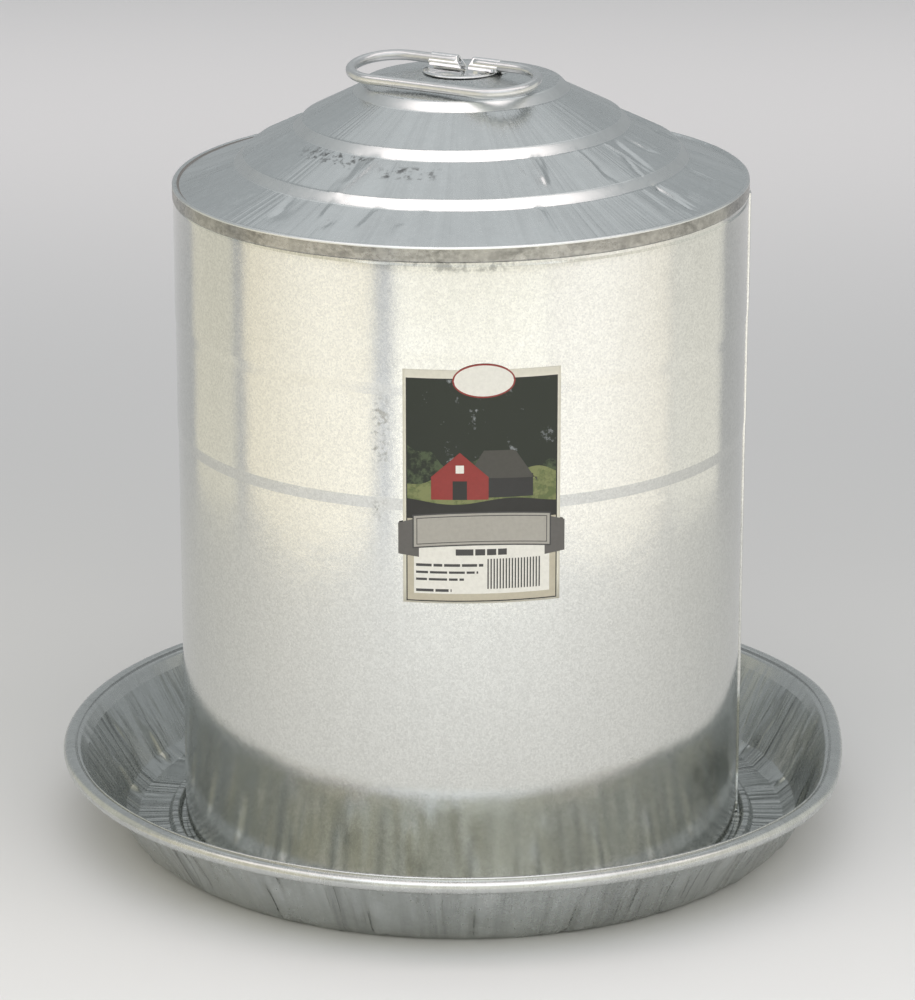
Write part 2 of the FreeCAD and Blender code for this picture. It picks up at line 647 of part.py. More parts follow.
def make_bail_bracket():
    """A disc on the cap's crown, with two straps curled over the wire."""
    sheet = size("disc_sheet")
    base = size("crown_height") - size("hinge_height") + size("contact")
    foot = base + sheet / 2
    inner = size("wire") + size("curl_play")
    outer = inner + size("curl_sheet")
    along = FreeCAD.Vector(1, 0, 0)
    disc = Part.makeCylinder(size("disc_radius"), sheet, FreeCAD.Vector(0, 0, base))
    spans = ((-size("curl_left"), size("notch_shift") - size("curl_notch")),
             (size("notch_shift") + size("curl_notch"), size("curl_right")))
    straps = []
    for start, end in spans:
        arch = Part.makeCylinder(outer, end - start, FreeCAD.Vector(start, 0, 0), along)
        leg = Part.makeBox(end - start, outer, -foot, FreeCAD.Vector(start, 0, foot))
        tunnel = Part.makeCylinder(inner, end - start, FreeCAD.Vector(start, 0, 0), along)
        slot = Part.makeBox(end - start, inner, -base - sheet, FreeCAD.Vector(start, 0, base + sheet))
        straps.append(arch.fuse(leg).cut([tunnel, slot]))
    bracket = feature("bail_bracket", disc.fuse(straps).removeSplitter())
    bracket.Placement = hinge_placement()


def make_bail():
    """An oval ring of round wire, open where its two ends sit in the curls."""
    left = -size("bail_left")
    right = size("bail_right")
    bend = size("bail_bend")
    right_end = size("notch_shift") + size("bail_end")
    left_end = size("notch_shift") - size("bail_end")
    far = -2 * bend
    path = [Part.makeLine(FreeCAD.Vector(right_end, 0, 0), FreeCAD.Vector(right, 0, 0)),
            Part.Arc(FreeCAD.Vector(right, 0, 0), FreeCAD.Vector(right + bend, -bend, 0),
                     FreeCAD.Vector(right, far, 0)).toShape(),
            Part.makeLine(FreeCAD.Vector(right, far, 0), FreeCAD.Vector(left, far, 0)),
            Part.Arc(FreeCAD.Vector(left, far, 0), FreeCAD.Vector(left - bend, -bend, 0),
                     FreeCAD.Vector(left, 0, 0)).toShape(),
            Part.makeLine(FreeCAD.Vector(left, 0, 0), FreeCAD.Vector(left_end, 0, 0))]
    circle = Part.Circle(FreeCAD.Vector(right_end, 0, 0), FreeCAD.Vector(1, 0, 0), size("wire"))
    section = Part.Wire(Part.Edge(circle))
    ring = Part.Wire(path).makePipeShell([section], True, True)
    droop = FreeCAD.Rotation(FreeCAD.Vector(1, 0, 0), size("bail_droop"))
    bail = feature("bail", ring)
    bail.Placement = hinge_placement().multiply(FreeCAD.Placement(FreeCAD.Vector(), droop))


# --- build, check and write -----------------------------------------------------------------------

def check(piece):
    """Stop if a sub-part failed to build."""
    if piece.Shape.isNull() or not piece.Shape.isValid():
        raise RuntimeError(piece.Label + " has no valid shape")


for make in (make_pan, make_tank_shell, make_tank_bottom, make_tank_solder, make_outlet_eyelet,
             make_valve_bracket, make_valve_pin, make_valve_lever, make_valve_pad, make_valve_spring,
             make_lock_lugs, make_lock_tabs, make_valve_cam, make_cover_shell, make_cover_cap,
             make_cap_seal, make_label, make_bail_bracket, make_bail):
    make()
doc.recompute()

for item in doc.Objects:
    if "Invalid" in item.State or "Error" in item.State:
        raise RuntimeError("%s: %s" % (item.Label, item.State))

os.makedirs("parts", exist_ok=True)
for piece in sub_parts:
    check(piece)
    piece.Shape.exportStep(os.path.join("parts", piece.Label + ".step"))
    box = piece.Shape.BoundBox
    print("%-16s %8.1f mm3  solids %d  x %.1f %.1f  y %.1f %.1f  z %.1f %.1f" % (
        piece.Label, piece.Shape.Volume, len(piece.Shape.Solids),
        box.XMin, box.XMax, box.YMin, box.YMax, box.ZMin, box.ZMax))
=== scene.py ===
"""Looks of a double-wall poultry waterer fount in galvanised sheet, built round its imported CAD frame.

Millimetres in the tables and functions below, turned into Blender's metres by MM.  The fount's axis is
Z, the label looks along -Y and the cover's lock seam is at +X.
"""
import math

import bmesh
import bpy
import numpy as np
from mathutils import Matrix, Vector


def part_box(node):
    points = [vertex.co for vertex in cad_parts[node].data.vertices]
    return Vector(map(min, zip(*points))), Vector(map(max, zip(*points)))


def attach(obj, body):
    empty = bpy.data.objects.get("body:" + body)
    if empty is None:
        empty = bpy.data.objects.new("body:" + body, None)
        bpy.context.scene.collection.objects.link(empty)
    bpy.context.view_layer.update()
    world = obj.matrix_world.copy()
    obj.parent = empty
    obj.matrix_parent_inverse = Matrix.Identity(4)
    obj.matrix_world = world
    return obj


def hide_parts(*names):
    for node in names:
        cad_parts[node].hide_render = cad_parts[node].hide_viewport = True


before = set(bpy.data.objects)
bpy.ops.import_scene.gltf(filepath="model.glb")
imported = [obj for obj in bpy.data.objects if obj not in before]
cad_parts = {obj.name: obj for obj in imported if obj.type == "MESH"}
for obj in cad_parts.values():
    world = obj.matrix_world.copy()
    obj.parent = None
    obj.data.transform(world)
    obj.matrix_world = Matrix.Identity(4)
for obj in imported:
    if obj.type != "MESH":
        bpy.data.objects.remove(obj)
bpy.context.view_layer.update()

MM = 0.001


# --- sizes in mm, from the frame where it gives them ----------------------------------------------

def top_of(node):
    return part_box(node)[1].z / MM


def reach_of(node):
    """Largest radius of a round node."""
    return -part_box(node)[0].x / MM


SHEET = 0.7

# the pan: foot, bead round the cover's foot, rolled rim
PAN_RADIUS = reach_of("pan")
PAN_HEIGHT = top_of("pan")
PAN_FOOT = 172.4
BEAD_RADIUS = 151.8
BEAD_HALF = 1.6
BEAD_RISE = 3.6
RIM_HALF = 3.7
RIM_ROLL = 3.3

# narrow folds in the foot of the pan's wall, and dents as depth, azimuth, half width in degrees, squareness
FOLDS = 22
FOLD_START = math.radians(-88.3 + 180 / FOLDS)
FOLD_DEPTH = 1.9
PAN_DENTS = ((8.2, -4.0, 19.0, 2.4), (2.0, -98.0, 42.0, 3.0))

# the cover's wall, from its hem up to the neck inside the chime
COVER_RADIUS = 146.0
COVER_FOOT = 1.2
HEM = 9.0
SWAGE_TOPS = (221.0, 279.0)
SWAGE_STEP = 0.3
SWAGE_RISE = 6.0
SWAGE_LIP = 0.15
SWAGE_FADE = 16.0
NECK = 0.5
NOTCH_AZIMUTH = math.radians(60.0)
NOTCH_WIDTH = 22.0
NOTCH_TOP = 20.0
PIN_HOLE_RADIUS = 1.6
PIN_HOLE_HEIGHT = 335.0
PIN_OPENING_HALF = (1.5, 2.2)
# across the lock seam and out from the wall's mid surface
SEAM_SECTION = (
    (-4.2, 0.30), (-3.6, 0.62), (-3.3, 1.45), (-2.6, 1.75), (2.3, 1.75), (3.0, 1.45), (3.3, 0.72), (3.5, 0.1),
)

# the cap: each riser's foot as radius and height, and its slope; the chime
CROWN_HEIGHT = top_of("cover_cap")
CROWN_EDGE = 21.5
RISERS = ((54.6, 392.6), (85.3, 374.8), (115.5, 357.4))
RISER_RUN = 4.4
RISER_RISE = 4.7
CHIME_RADIUS = reach_of("cover_cap")
CHIME_TOP = 347.6
CHIME_HEIGHT = 8.2
CHIME_INSIDE = 145.9
# the cap's slope along X and Y, and how far its rings sit off the axis
CAP_LEAN = (0.0095, -0.005)
RING_SHIFT = 0.8

# the label: middle azimuth, half widths of the picture and of the ribbon, and the layers of paper and ink
LABEL_MIDDLE = math.radians(-85.9)
LABEL_SIDE = 37.3
LABEL_ARC = 41.3
LABEL_RADIUS = 146.95
LABEL_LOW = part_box("label")[0].z / MM
LABEL_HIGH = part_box("label")[1].z / MM
PAPER = 0.2
PRINT = 0.015

# the bail: its hinge line, wire radius, and the oval's half straight runs, bend and wire ends along the hinge
HINGE_HEIGHT = 406.7
HINGE_TURN = math.radians(-30.0)
BAIL_DROOP = math.radians(6.6)
WIRE = 2.7
BAIL_RUN = (-28.9, 32.0)
BAIL_BEND = 20.4
BAIL_ENDS = (-2.4, 8.6)
BRACKET_SHEET = 0.8


# --- mesh helpers ---------------------------------------------------------------------------------

def smooth_step(x, low, high):
    """0 below low, 1 above high, with a soft S between them."""
    t = np.clip((np.asarray(x, float) - low) / (high - low), 0, 1)
    return t * t * (3 - 2 * t)


def band(x, start, end, rise, fall):
    """1 between start and end, with a soft rise after start and a soft fall before end."""
    return smooth_step(x, start, start + rise) * (1 - smooth_step(x, end - fall, end))


def new_object(name, vertices, faces, smooth=True):
    """A mesh object from points in mm."""
    mesh = bpy.data.meshes.new(name)
    mesh.from_pydata([tuple(v) for v in np.asarray(vertices) * MM], [], faces)
    mesh.update()
    if smooth:
        mesh.polygons.foreach_set("use_smooth", [True] * len(mesh.polygons))
    piece = bpy.data.objects.new(name, mesh)
    bpy.context.scene.collection.objects.link(piece)
    return piece


def rounded(corners, step=8.0):
    """A line through (x, y, radius) corners, each rounded by an arc of its radius in steps of degrees."""
    line = []
    for i, (x, y, radius) in enumerate(corners):
        here = np.array((x, y), float)
        if radius == 0 or i in (0, len(corners) - 1):
            line.append(here)
            continue
        before = np.array(corners[i - 1][:2], float) - here
        after = np.array(corners[i + 1][:2], float) - here
        before /= np.linalg.norm(before)
        after /= np.linalg.norm(after)
        turn = math.pi - math.acos(np.clip(before @ after, -1, 1))
        if turn < 1e-3:
            line.append(here)
            continue
        cut = radius * math.tan(turn / 2)
        inward = (before + after) / np.linalg.norm(before + after)
        centre = here + inward * radius / math.cos(turn / 2)
        first = here + before * cut - centre
        last = here + after * cut - centre
        count = max(2, int(math.degrees(turn) / step) + 1)
        for k in range(count + 1):
            share = k / count
            mix = first * math.sin((1 - share) * turn) + last * math.sin(share * turn)
            line.append(centre + mix / math.sin(turn))
    return np.array(line)


def refine(line, longest):
    """Split a line's long runs so that none is longer than longest."""
    points = [line[0]]
    for a, b in zip(line, line[1:]):
        count = max(1, int(math.ceil(np.linalg.norm(b - a) / longest)))
        points += [a + (b - a) * k / count for k in range(1, count + 1)]
    return np.array(points)


def normals_of(line):
    """Unit normals to the left of a line in its own plane."""
    along = np.gradient(line, axis=0)
    along /= np.linalg.norm(along, axis=1)[:, None]
    return np.column_stack([-along[:, 1], along[:, 0]])


def lathe(name, line, steps, warp=None):
    """Turn a (radius, height) line about Z.  warp(angles, line) gives a shift along the line's normal."""
    angles = np.linspace(0, 2 * math.pi, steps, endpoint=False)
    radius = np.tile(line[:, 0], (steps, 1))
    height = np.tile(line[:, 1], (steps, 1))
    if warp is not None:
        shift = warp(angles[:, None], line[None, :, :])
        side = normals_of(line)
        radius = radius + shift * side[None, :, 0]
        height = height + shift * side[None, :, 1]
    points = np.stack([radius * np.cos(angles)[:, None], radius * np.sin(angles)[:, None], height], axis=2)
    count = len(line)
    pole = line[0, 0] < 1e-6
    first = 1 if pole else 0
    vertices = list(points[:, first:].reshape(-1, 3))
    width = count - first
    faces = []
    for j in range(steps):
        k = (j + 1) % steps
        for i in range(width - 1):
            faces.append((j * width + i, j * width + i + 1, k * width + i + 1, k * width + i))
    if pole:
        vertices.append(points[0, 0])
        centre = len(vertices) - 1
        faces += [(centre, j * width, ((j + 1) % steps) * width) for j in range(steps)]
    return new_object(name, vertices, faces)


def thicken(piece, thickness=SHEET, offset=0.0):
    """Give an open sheet its thickness."""
    modifier = piece.modifiers.new("sheet", "SOLIDIFY")
    modifier.thickness = thickness * MM
    modifier.offset = offset
    modifier.use_even_offset = True
    return piece


def cut_away(piece, cutter):
    """Cut a closed cutter out of a closed piece and keep the result as its plain mesh."""
    modifier = piece.modifiers.new("cut", "BOOLEAN")
    modifier.operation = "DIFFERENCE"
    modifier.solver = "EXACT"
    modifier.object = cutter
    bpy.context.view_layer.update()
    finished = piece.evaluated_get(bpy.context.evaluated_depsgraph_get())
    piece.data = bpy.data.meshes.new_from_object(finished)
    piece.modifiers.clear()
    bpy.data.objects.remove(cutter)


def take_out(piece, inside):
    """Remove the faces whose middle (azimuth, height) is inside an opening."""
    mesh = bmesh.new()
    mesh.from_mesh(piece.data)
    gone = []
    for face in mesh.faces:
        middle = face.calc_center_median()
        if inside(math.atan2(middle.y, middle.x), middle.z / MM):
            gone.append(face)
    bmesh.ops.delete(mesh, geom=gone, context="FACES")
    mesh.to_mesh(piece.data)
    mesh.free()


def cutter_rod(radius, near, far, height):
    """A rod along X at a height, from near to far."""
    sides = 24
    turn = np.linspace(0, 2 * math.pi, sides, endpoint=False)
    rings = [[(x, radius * math.cos(t), height + radius * math.sin(t)) for t in turn] for x in (near, far)]
    faces = [(i, (i + 1) % sides, sides + (i + 1) % sides, sides + i) for i in range(sides)]
    faces += [tuple(range(sides))[::-1], tuple(range(sides, 2 * sides))]
    return new_object("cutter_rod", rings[0] + rings[1], faces, smooth=False)


def tube(name, path, radius, sides=20):
    """Sweep a round section with eased ends along an open path of points."""
    path = np.asarray(path, float)
    along = np.gradient(path, axis=0)
    along /= np.linalg.norm(along, axis=1)[:, None]
    up = np.cross(along[0], (0.3, 0.2, 1.0))
    up /= np.linalg.norm(up)
    rings = []
    bulge = 0.35 * radius
    caps = [(math.cos(a), math.sin(a)) for a in np.radians((80, 55, 30))]
    stations = [(path[0] - along[0] * bulge * s, along[0], c) for c, s in caps]
    stations += [(p, d, 1.0) for p, d in zip(path, along)]
    stations += [(path[-1] + along[-1] * bulge * s, along[-1], c) for c, s in reversed(caps)]
    for point, direction, scale in stations:
        up = up - direction * (up @ direction)
        up /= np.linalg.norm(up)
        side = np.cross(direction, up)
        turn = np.linspace(0, 2 * math.pi, sides, endpoint=False)
        rings.append(point + radius * scale * (np.cos(turn)[:, None] * up + np.sin(turn)[:, None] * side))
    vertices = list(np.concatenate(rings))
    faces = []
    for j in range(len(rings) - 1):
        for i in range(sides):
            k = (i + 1) % sides
            faces.append((j * sides + i, j * sides + k, (j + 1) * sides + k, (j + 1) * sides + i))
    faces.append(tuple(range(sides))[::-1])
    faces.append(tuple(range((len(rings) - 1) * sides, len(rings) * sides)))
    return new_object(name, vertices, faces)


# --- dents, pleats and creases --------------------------------------------------------------------

def turn_gap(a, b):
    """Signed difference between two angles, from -pi to pi."""
    return (a - b + math.pi) % (2 * math.pi) - math.pi


def waves(angles, seed, lowest, highest, count):
    """A smooth random wave round the axis, about 1 at its largest."""
    rng = np.random.default_rng(seed)
    total = np.zeros_like(angles)
    for _ in range(count):
        size = rng.uniform(0.4, 1)
        turns = rng.integers(lowest, highest)
        total = total + size * np.cos(turns * angles + rng.uniform(0, 7))
    return total / math.sqrt(count)


def pleats(angles, where, seed, count, width, height, low, high, slant, sharp=0.35):
    """Sharp-backed pleats, spread evenly round a band.

    where is the coordinate across the band, which runs from low to high.  width and slant are in degrees
    round the axis, height in mm.
    """
    rng = np.random.default_rng(seed)
    total = np.zeros(np.broadcast(angles, where).shape)
    places = (np.arange(count) + rng.uniform(-0.42, 0.42, count)) * 2 * math.pi / count
    span = high - low
    for place in places:
        wide = math.radians(width) * rng.uniform(0.5, 1.5)
        tall = height * rng.uniform(0.25, 1.0) * rng.choice([1, 1, -1])
        start = low + span * rng.uniform(-0.05, 0.3)
        end = high - span * rng.uniform(-0.05, 0.3)
        lean = math.radians(slant) * rng.uniform(-1, 1)
        gap = turn_gap(angles, place + lean * (where - low) / span) / wide
        shape = np.exp(-np.abs(gap) ** 1.4 / sharp)
        total = total + tall * shape * band(where, start, end, span * 0.3, span * 0.3)
    return total


def creases(angles, where, seed, count, width, height, low, high, slant):
    """Crisp folds, scattered round a band: each rises slowly, drops at once, and leans a little.

    The arguments are those of pleats.
    """
    rng = np.random.default_rng(seed)
    total = np.zeros(np.broadcast(angles, where).shape)
    span = high - low
    for _ in range(count):
        place = rng.uniform(0, 2 * math.pi)
        wide = math.radians(width) * rng.uniform(0.6, 1.6)
        tall = height * rng.uniform(0.3, 1.0) * rng.choice([1, -1])
        lean = math.radians(slant) * rng.uniform(-1, 1)
        bow = math.radians(slant) * rng.uniform(-0.5, 0.5)
        share = np.clip((where - low) / span, 0, 1)
        gap = turn_gap(angles, place + lean * share + bow * share * share) / wide * rng.choice([1, -1])
        shape = smooth_step(np.minimum(1 + gap, 1 - gap / 0.45), 0.0, 1.15)
        start = low + span * rng.choice([-0.1, -0.1, 0.35])
        end = high - span * rng.choice([-0.1, 0.2, 0.45])
        total = total + tall * shape * band(where, start, end, span * 0.22, span * 0.3)
    return total


# --- the pan --------------------------------------------------------------------------------------

def press_in(piece):
    """The pan has been knocked out of round: its wall is pushed in on the right and eased at the front."""
    for vertex in piece.data.vertices:
        x, y, z = vertex.co
        radius = math.hypot(x, y)
        turn = math.degrees(math.atan2(y, x))
        up_the_wall = float(smooth_step(z / MM, 4.0, PAN_HEIGHT - 4.0))
        share = up_the_wall * float(smooth_step(radius / MM, PAN_FOOT - 0.4, PAN_FOOT + 7.6))
        dent = 0.0
        for depth, azimuth, half_width, squareness in PAN_DENTS:
            dent += depth * math.exp(-abs((turn - azimuth) / half_width) ** squareness)
        push = share * dent * MM / max(radius, 1e-6)
        vertex.co.x = x * (1 - push)
        vertex.co.y = y * (1 - push)


def foot_folds(angles, radius):
    """Narrow folds, evenly spread round the foot, where the drawn wall has gathered."""
    spacing = 2 * math.pi / FOLDS
    gap = np.degrees(np.mod(angles - FOLD_START, spacing) - spacing / 2)
    fold = np.exp(-(gap / 0.62) ** 2)
    shoulder = 0.4 * np.exp(-((gap - 1.7) / 1.1) ** 2)
    return FOLD_DEPTH * (fold - shoulder) * band(radius, 173.0, 192.0, 2.5, 10.0)


def make_pan():
    half = SHEET / 2
    corners = [
        (0, half, 0),
        (BEAD_RADIUS - 2 * BEAD_HALF, half, 1.2),
        (BEAD_RADIUS - BEAD_HALF, BEAD_RISE, 1.2),
        (BEAD_RADIUS + BEAD_HALF, BEAD_RISE, 1.2),
        (BEAD_RADIUS + 2 * BEAD_HALF, half, 1.2),
        (PAN_FOOT - 1.2, half, 1.6),
        (PAN_FOOT + 5.6, 6.0, 3.0),
        (PAN_RADIUS - 2 * RIM_HALF, PAN_HEIGHT - 1.2, 0),
    ]
    wall = refine(rounded(corners), 3.0)
    centre = np.array((PAN_RADIUS - RIM_HALF, PAN_HEIGHT - RIM_ROLL - 0.4))
    half_across = RIM_HALF - half
    tilt = 0.28
    curl = []
    for turn in np.radians(np.arange(165, -150, -15)):
        flattened = 1.0 - 0.10 * max(0.0, math.sin(turn))
        out = half_across * math.cos(turn)
        up = RIM_ROLL * flattened * math.sin(turn) - tilt * math.cos(turn)
        curl.append(centre + np.array((out, up)))
    line = np.vstack([wall, curl])

    def warp(angles, line):
        radius = line[..., 0]
        height = line[..., 1]
        floor_zone = {"low": 156.0, "high": 177.0}
        fine_zone = {"low": 176.0, "high": 204.0}
        wide_zone = {"low": 177.0, "high": 203.0}
        floor = pleats(angles, radius, seed=11, count=64, width=1.6, height=0.9, slant=1.2, **floor_zone)
        ripple = 0.15 * waves(angles, seed=12, lowest=20, highest=60, count=6)
        floor = floor + ripple * smooth_step(radius, 157, 166) * (radius < 178)
        wall = pleats(angles, radius, seed=13, count=120, width=1.5, height=1.0, slant=3.0, **fine_zone)
        wall = wall + pleats(angles, radius, seed=14, count=34, width=2.8, height=1.3, slant=4.0, sharp=0.6,
                             **wide_zone)
        below_rim = 1 - smooth_step(height, PAN_HEIGHT - 7, PAN_HEIGHT - 2)
        wall = smooth_step(radius, 176.5, 181) * below_rim * wall
        off_the_pole = (radius > 3) * 1.0
        return off_the_pole * (floor + wall + foot_folds(angles, radius))

    piece = lathe("pan_sheet", line, 1200, warp)
    press_in(piece)
    for vertex in piece.data.vertices:
        vertex.co.z = max(vertex.co.z, half * MM)
    thicken(piece)
    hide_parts("pan")
    return piece


# --- the cover ------------------------------------------------------------------------------------

def cover_corners():
    """The wall's line: hem folded up inside, two swaged steps, each with a low lip, and the neck."""
    radius = COVER_RADIUS - SHEET / 2
    inside = radius - SHEET * 1.35
    fold = SHEET * 0.65
    corners = [(inside, COVER_FOOT + HEM, 0), (inside, COVER_FOOT, fold), (radius, COVER_FOOT, fold)]
    corners += [(radius, NOTCH_TOP, 0)]
    for top in SWAGE_TOPS:
        corners += [(radius, top - SWAGE_RISE, 1.5), (radius + SWAGE_STEP + SWAGE_LIP, top, 1.5)]
        radius += SWAGE_STEP
        corners += [(radius, top + SWAGE_FADE, 6.0)]
    low = CHIME_TOP - CHIME_HEIGHT
    corners += [(radius, low - 1.2, 0.4), (radius - NECK, low, 0.4), (radius - NECK, CHIME_TOP - 2.0, 0)]
    return corners


def cover_warp(angles, line):
    """Gentle unevenness of a rolled sheet; the hem's inner leaf follows the wall."""
    height = line[..., 1]
    broad = 0.10 * waves(angles, seed=21, lowest=2, highest=7, count=5) * np.sin(height / 95.0 + 0.6)
    fine = 0.012 * waves(angles, seed=22, lowest=20, highest=60, count=8) * np.sin(height / 31.0 + 1.1)
    side = np.where(line[..., 0] > COVER_RADIUS - SHEET, 1.0, -1.0)
    return side * (broad + fine)


def make_cover_shell():
    line = refine(rounded(cover_corners()), 4.0)
    piece = lathe("cover_wall", line, 480, cover_warp)
    half_notch = NOTCH_WIDTH / 2 / COVER_RADIUS
    half_across, half_up = PIN_OPENING_HALF

    def opening(azimuth, height):
        notch = height < NOTCH_TOP and abs(azimuth - NOTCH_AZIMUTH) < half_notch
        under_pin_hole = abs(height - PIN_HOLE_HEIGHT) < half_up and abs(azimuth) * COVER_RADIUS < half_across
        return notch or under_pin_hole

    take_out(piece, opening)
    thicken(piece)
    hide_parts("cover_shell")
    return piece


def seam_point(across, out, height):
    """A point on the lock seam: across it, out from the wall's mid surface, and up."""
    base = COVER_RADIUS - SHEET / 2
    for top in SWAGE_TOPS:
        base += SWAGE_STEP * float(smooth_step(height, top - SWAGE_RISE, top))
    return (base + out, across, height)


def make_cover_seam():
    """The folded lock seam: a flat band over the wall with one crimped edge."""
    heights = np.linspace(COVER_FOOT, CHIME_TOP - CHIME_HEIGHT - 0.3, 130)
    vertices = []
    faces = []
    count = len(SEAM_SECTION)
    for h in heights:
        wobble = 0.12 * math.sin(h / 17.0) + 0.08 * math.sin(h / 7.3 + 1)
        for across, out in SEAM_SECTION:
            vertices.append(seam_point(across + wobble, out, h))
    for j in range(len(heights) - 1):
        for i in range(count - 1):
            faces.append((j * count + i, j * count + i + 1, (j + 1) * count + i + 1, (j + 1) * count + i))
        faces.append((j * count + count - 1, j * count, (j + 1) * count, (j + 1) * count + count - 1))
    faces.append(tuple(range(count))[::-1])
    faces.append(tuple(range((len(heights) - 1) * count, len(heights) * count)))
    piece = new_object("cover_lock_seam", vertices, faces, smooth=False)
    reach = 12.0
    cut_away(piece, cutter_rod(PIN_HOLE_RADIUS, COVER_RADIUS - reach, COVER_RADIUS + reach, PIN_HOLE_HEIGHT))
    return piece


def lean_cap(piece):
    """The cap is seamed on a little askew, and its pressed rings are a little off the wall's centre."""
    for vertex in piece.data.vertices:
        x, y, z = vertex.co
        radius = math.hypot(x, y) / MM
        vertex.co.z = z + CAP_LEAN[0] * x + CAP_LEAN[1] * y
        vertex.co.x = x + RING_SHIFT * MM * (1 - float(smooth_step(radius, 118, 142)))


def make_cover_cap():
    half = SHEET / 2
    crest = [(0, CROWN_HEIGHT - half, 0), (CROWN_EDGE, CROWN_HEIGHT - half, 8.0)]
    for radius, height in RISERS:
        crest += [(radius - RISER_RUN, height + RISER_RISE - half, 3.0), (radius, height - half, 3.0)]
    crest += [
        (142.4, 347.2 - half, 2.0),
        (144.2, 346.6 - half, 0.7),
        (145.6, CHIME_TOP - half, 0.5),
        (CHIME_RADIUS - half, CHIME_TOP - half, 0.8),
        (CHIME_RADIUS - half, CHIME_TOP - CHIME_HEIGHT + 0.9, 0.6),
        (CHIME_RADIUS - 1.1, CHIME_TOP - CHIME_HEIGHT + 0.4, 0),
    ]
    line = refine(rounded(crest), 2.2)
    outer = {"low": 116.0, "high": 141.0}
    middle = {"low": 86.0, "high": 111.0}
    inner = {"low": 56.0, "high": 80.0}

    def warp(angles, line):
        radius = line[..., 0]
        zones = [
            creases(angles, radius, seed=31, count=46, width=3.2, height=1.1, slant=3.0, **outer),
            pleats(angles, radius, seed=36, count=30, width=2.4, height=0.22, slant=5.0, sharp=0.6, **outer),
            creases(angles, radius, seed=32, count=40, width=3.8, height=0.95, slant=4.0, **middle),
            pleats(angles, radius, seed=37, count=26, width=2.8, height=0.22, slant=6.0, sharp=0.6, **middle),
            pleats(angles, radius, seed=33, count=10, width=2.5, height=0.12, slant=4.0, sharp=0.6, **inner),
        ]
        soft = 0.22 * waves(angles, seed=34, lowest=5, highest=16, count=6) * band(radius, 84, 144, 16, 12)
        chime = 0.06 * waves(angles, seed=35, lowest=9, highest=40, count=6)
        chime = chime * smooth_step(radius, 145.8, 146.3)
        return -(sum(zones) + soft + chime)

    piece = thicken(lathe("cap_panel", line, 1440, warp))
    lean_cap(piece)
    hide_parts("cover_cap")
    return piece


# --- the label ------------------------------------------------------------------------------------

def sticker(name, layer, left, right, lower, upper, pitch=1.5):
    """A printed patch of the label between two sides and two curves, in mm from its lower middle."""
    columns = max(2, int(math.ceil((right - left) / pitch)) + 1)
    rows = 12
    radius = LABEL_RADIUS + layer * PRINT
    vertices = []
    for across in np.linspace(left, right, columns):
        low = lower(across) if callable(lower) else lower
        high = upper(across) if callable(upper) else upper
        turn = LABEL_MIDDLE + across / LABEL_RADIUS
        for height in np.linspace(low, high, rows):
            vertices.append((radius * math.cos(turn), radius * math.sin(turn), LABEL_LOW + height))
    faces = []
    for j in range(columns - 1):
        for i in range(rows - 1):
            a = j * rows + i
            faces.append((a, a + rows, a + rows + 1, a + 1))
    return new_object(name, vertices, faces)


def oval(name, layer, centre, height, wide, tall):
    """An upright oval patch."""
    def half(across):
        return tall * math.sqrt(max(0.0, 1 - ((across - centre) / wide) ** 2))

    def lower(across):
        return height - half(across)

    def upper(across):
        return height + half(across)

    return sticker(name, layer, centre - wide, centre + wide, lower, upper, 0.5)


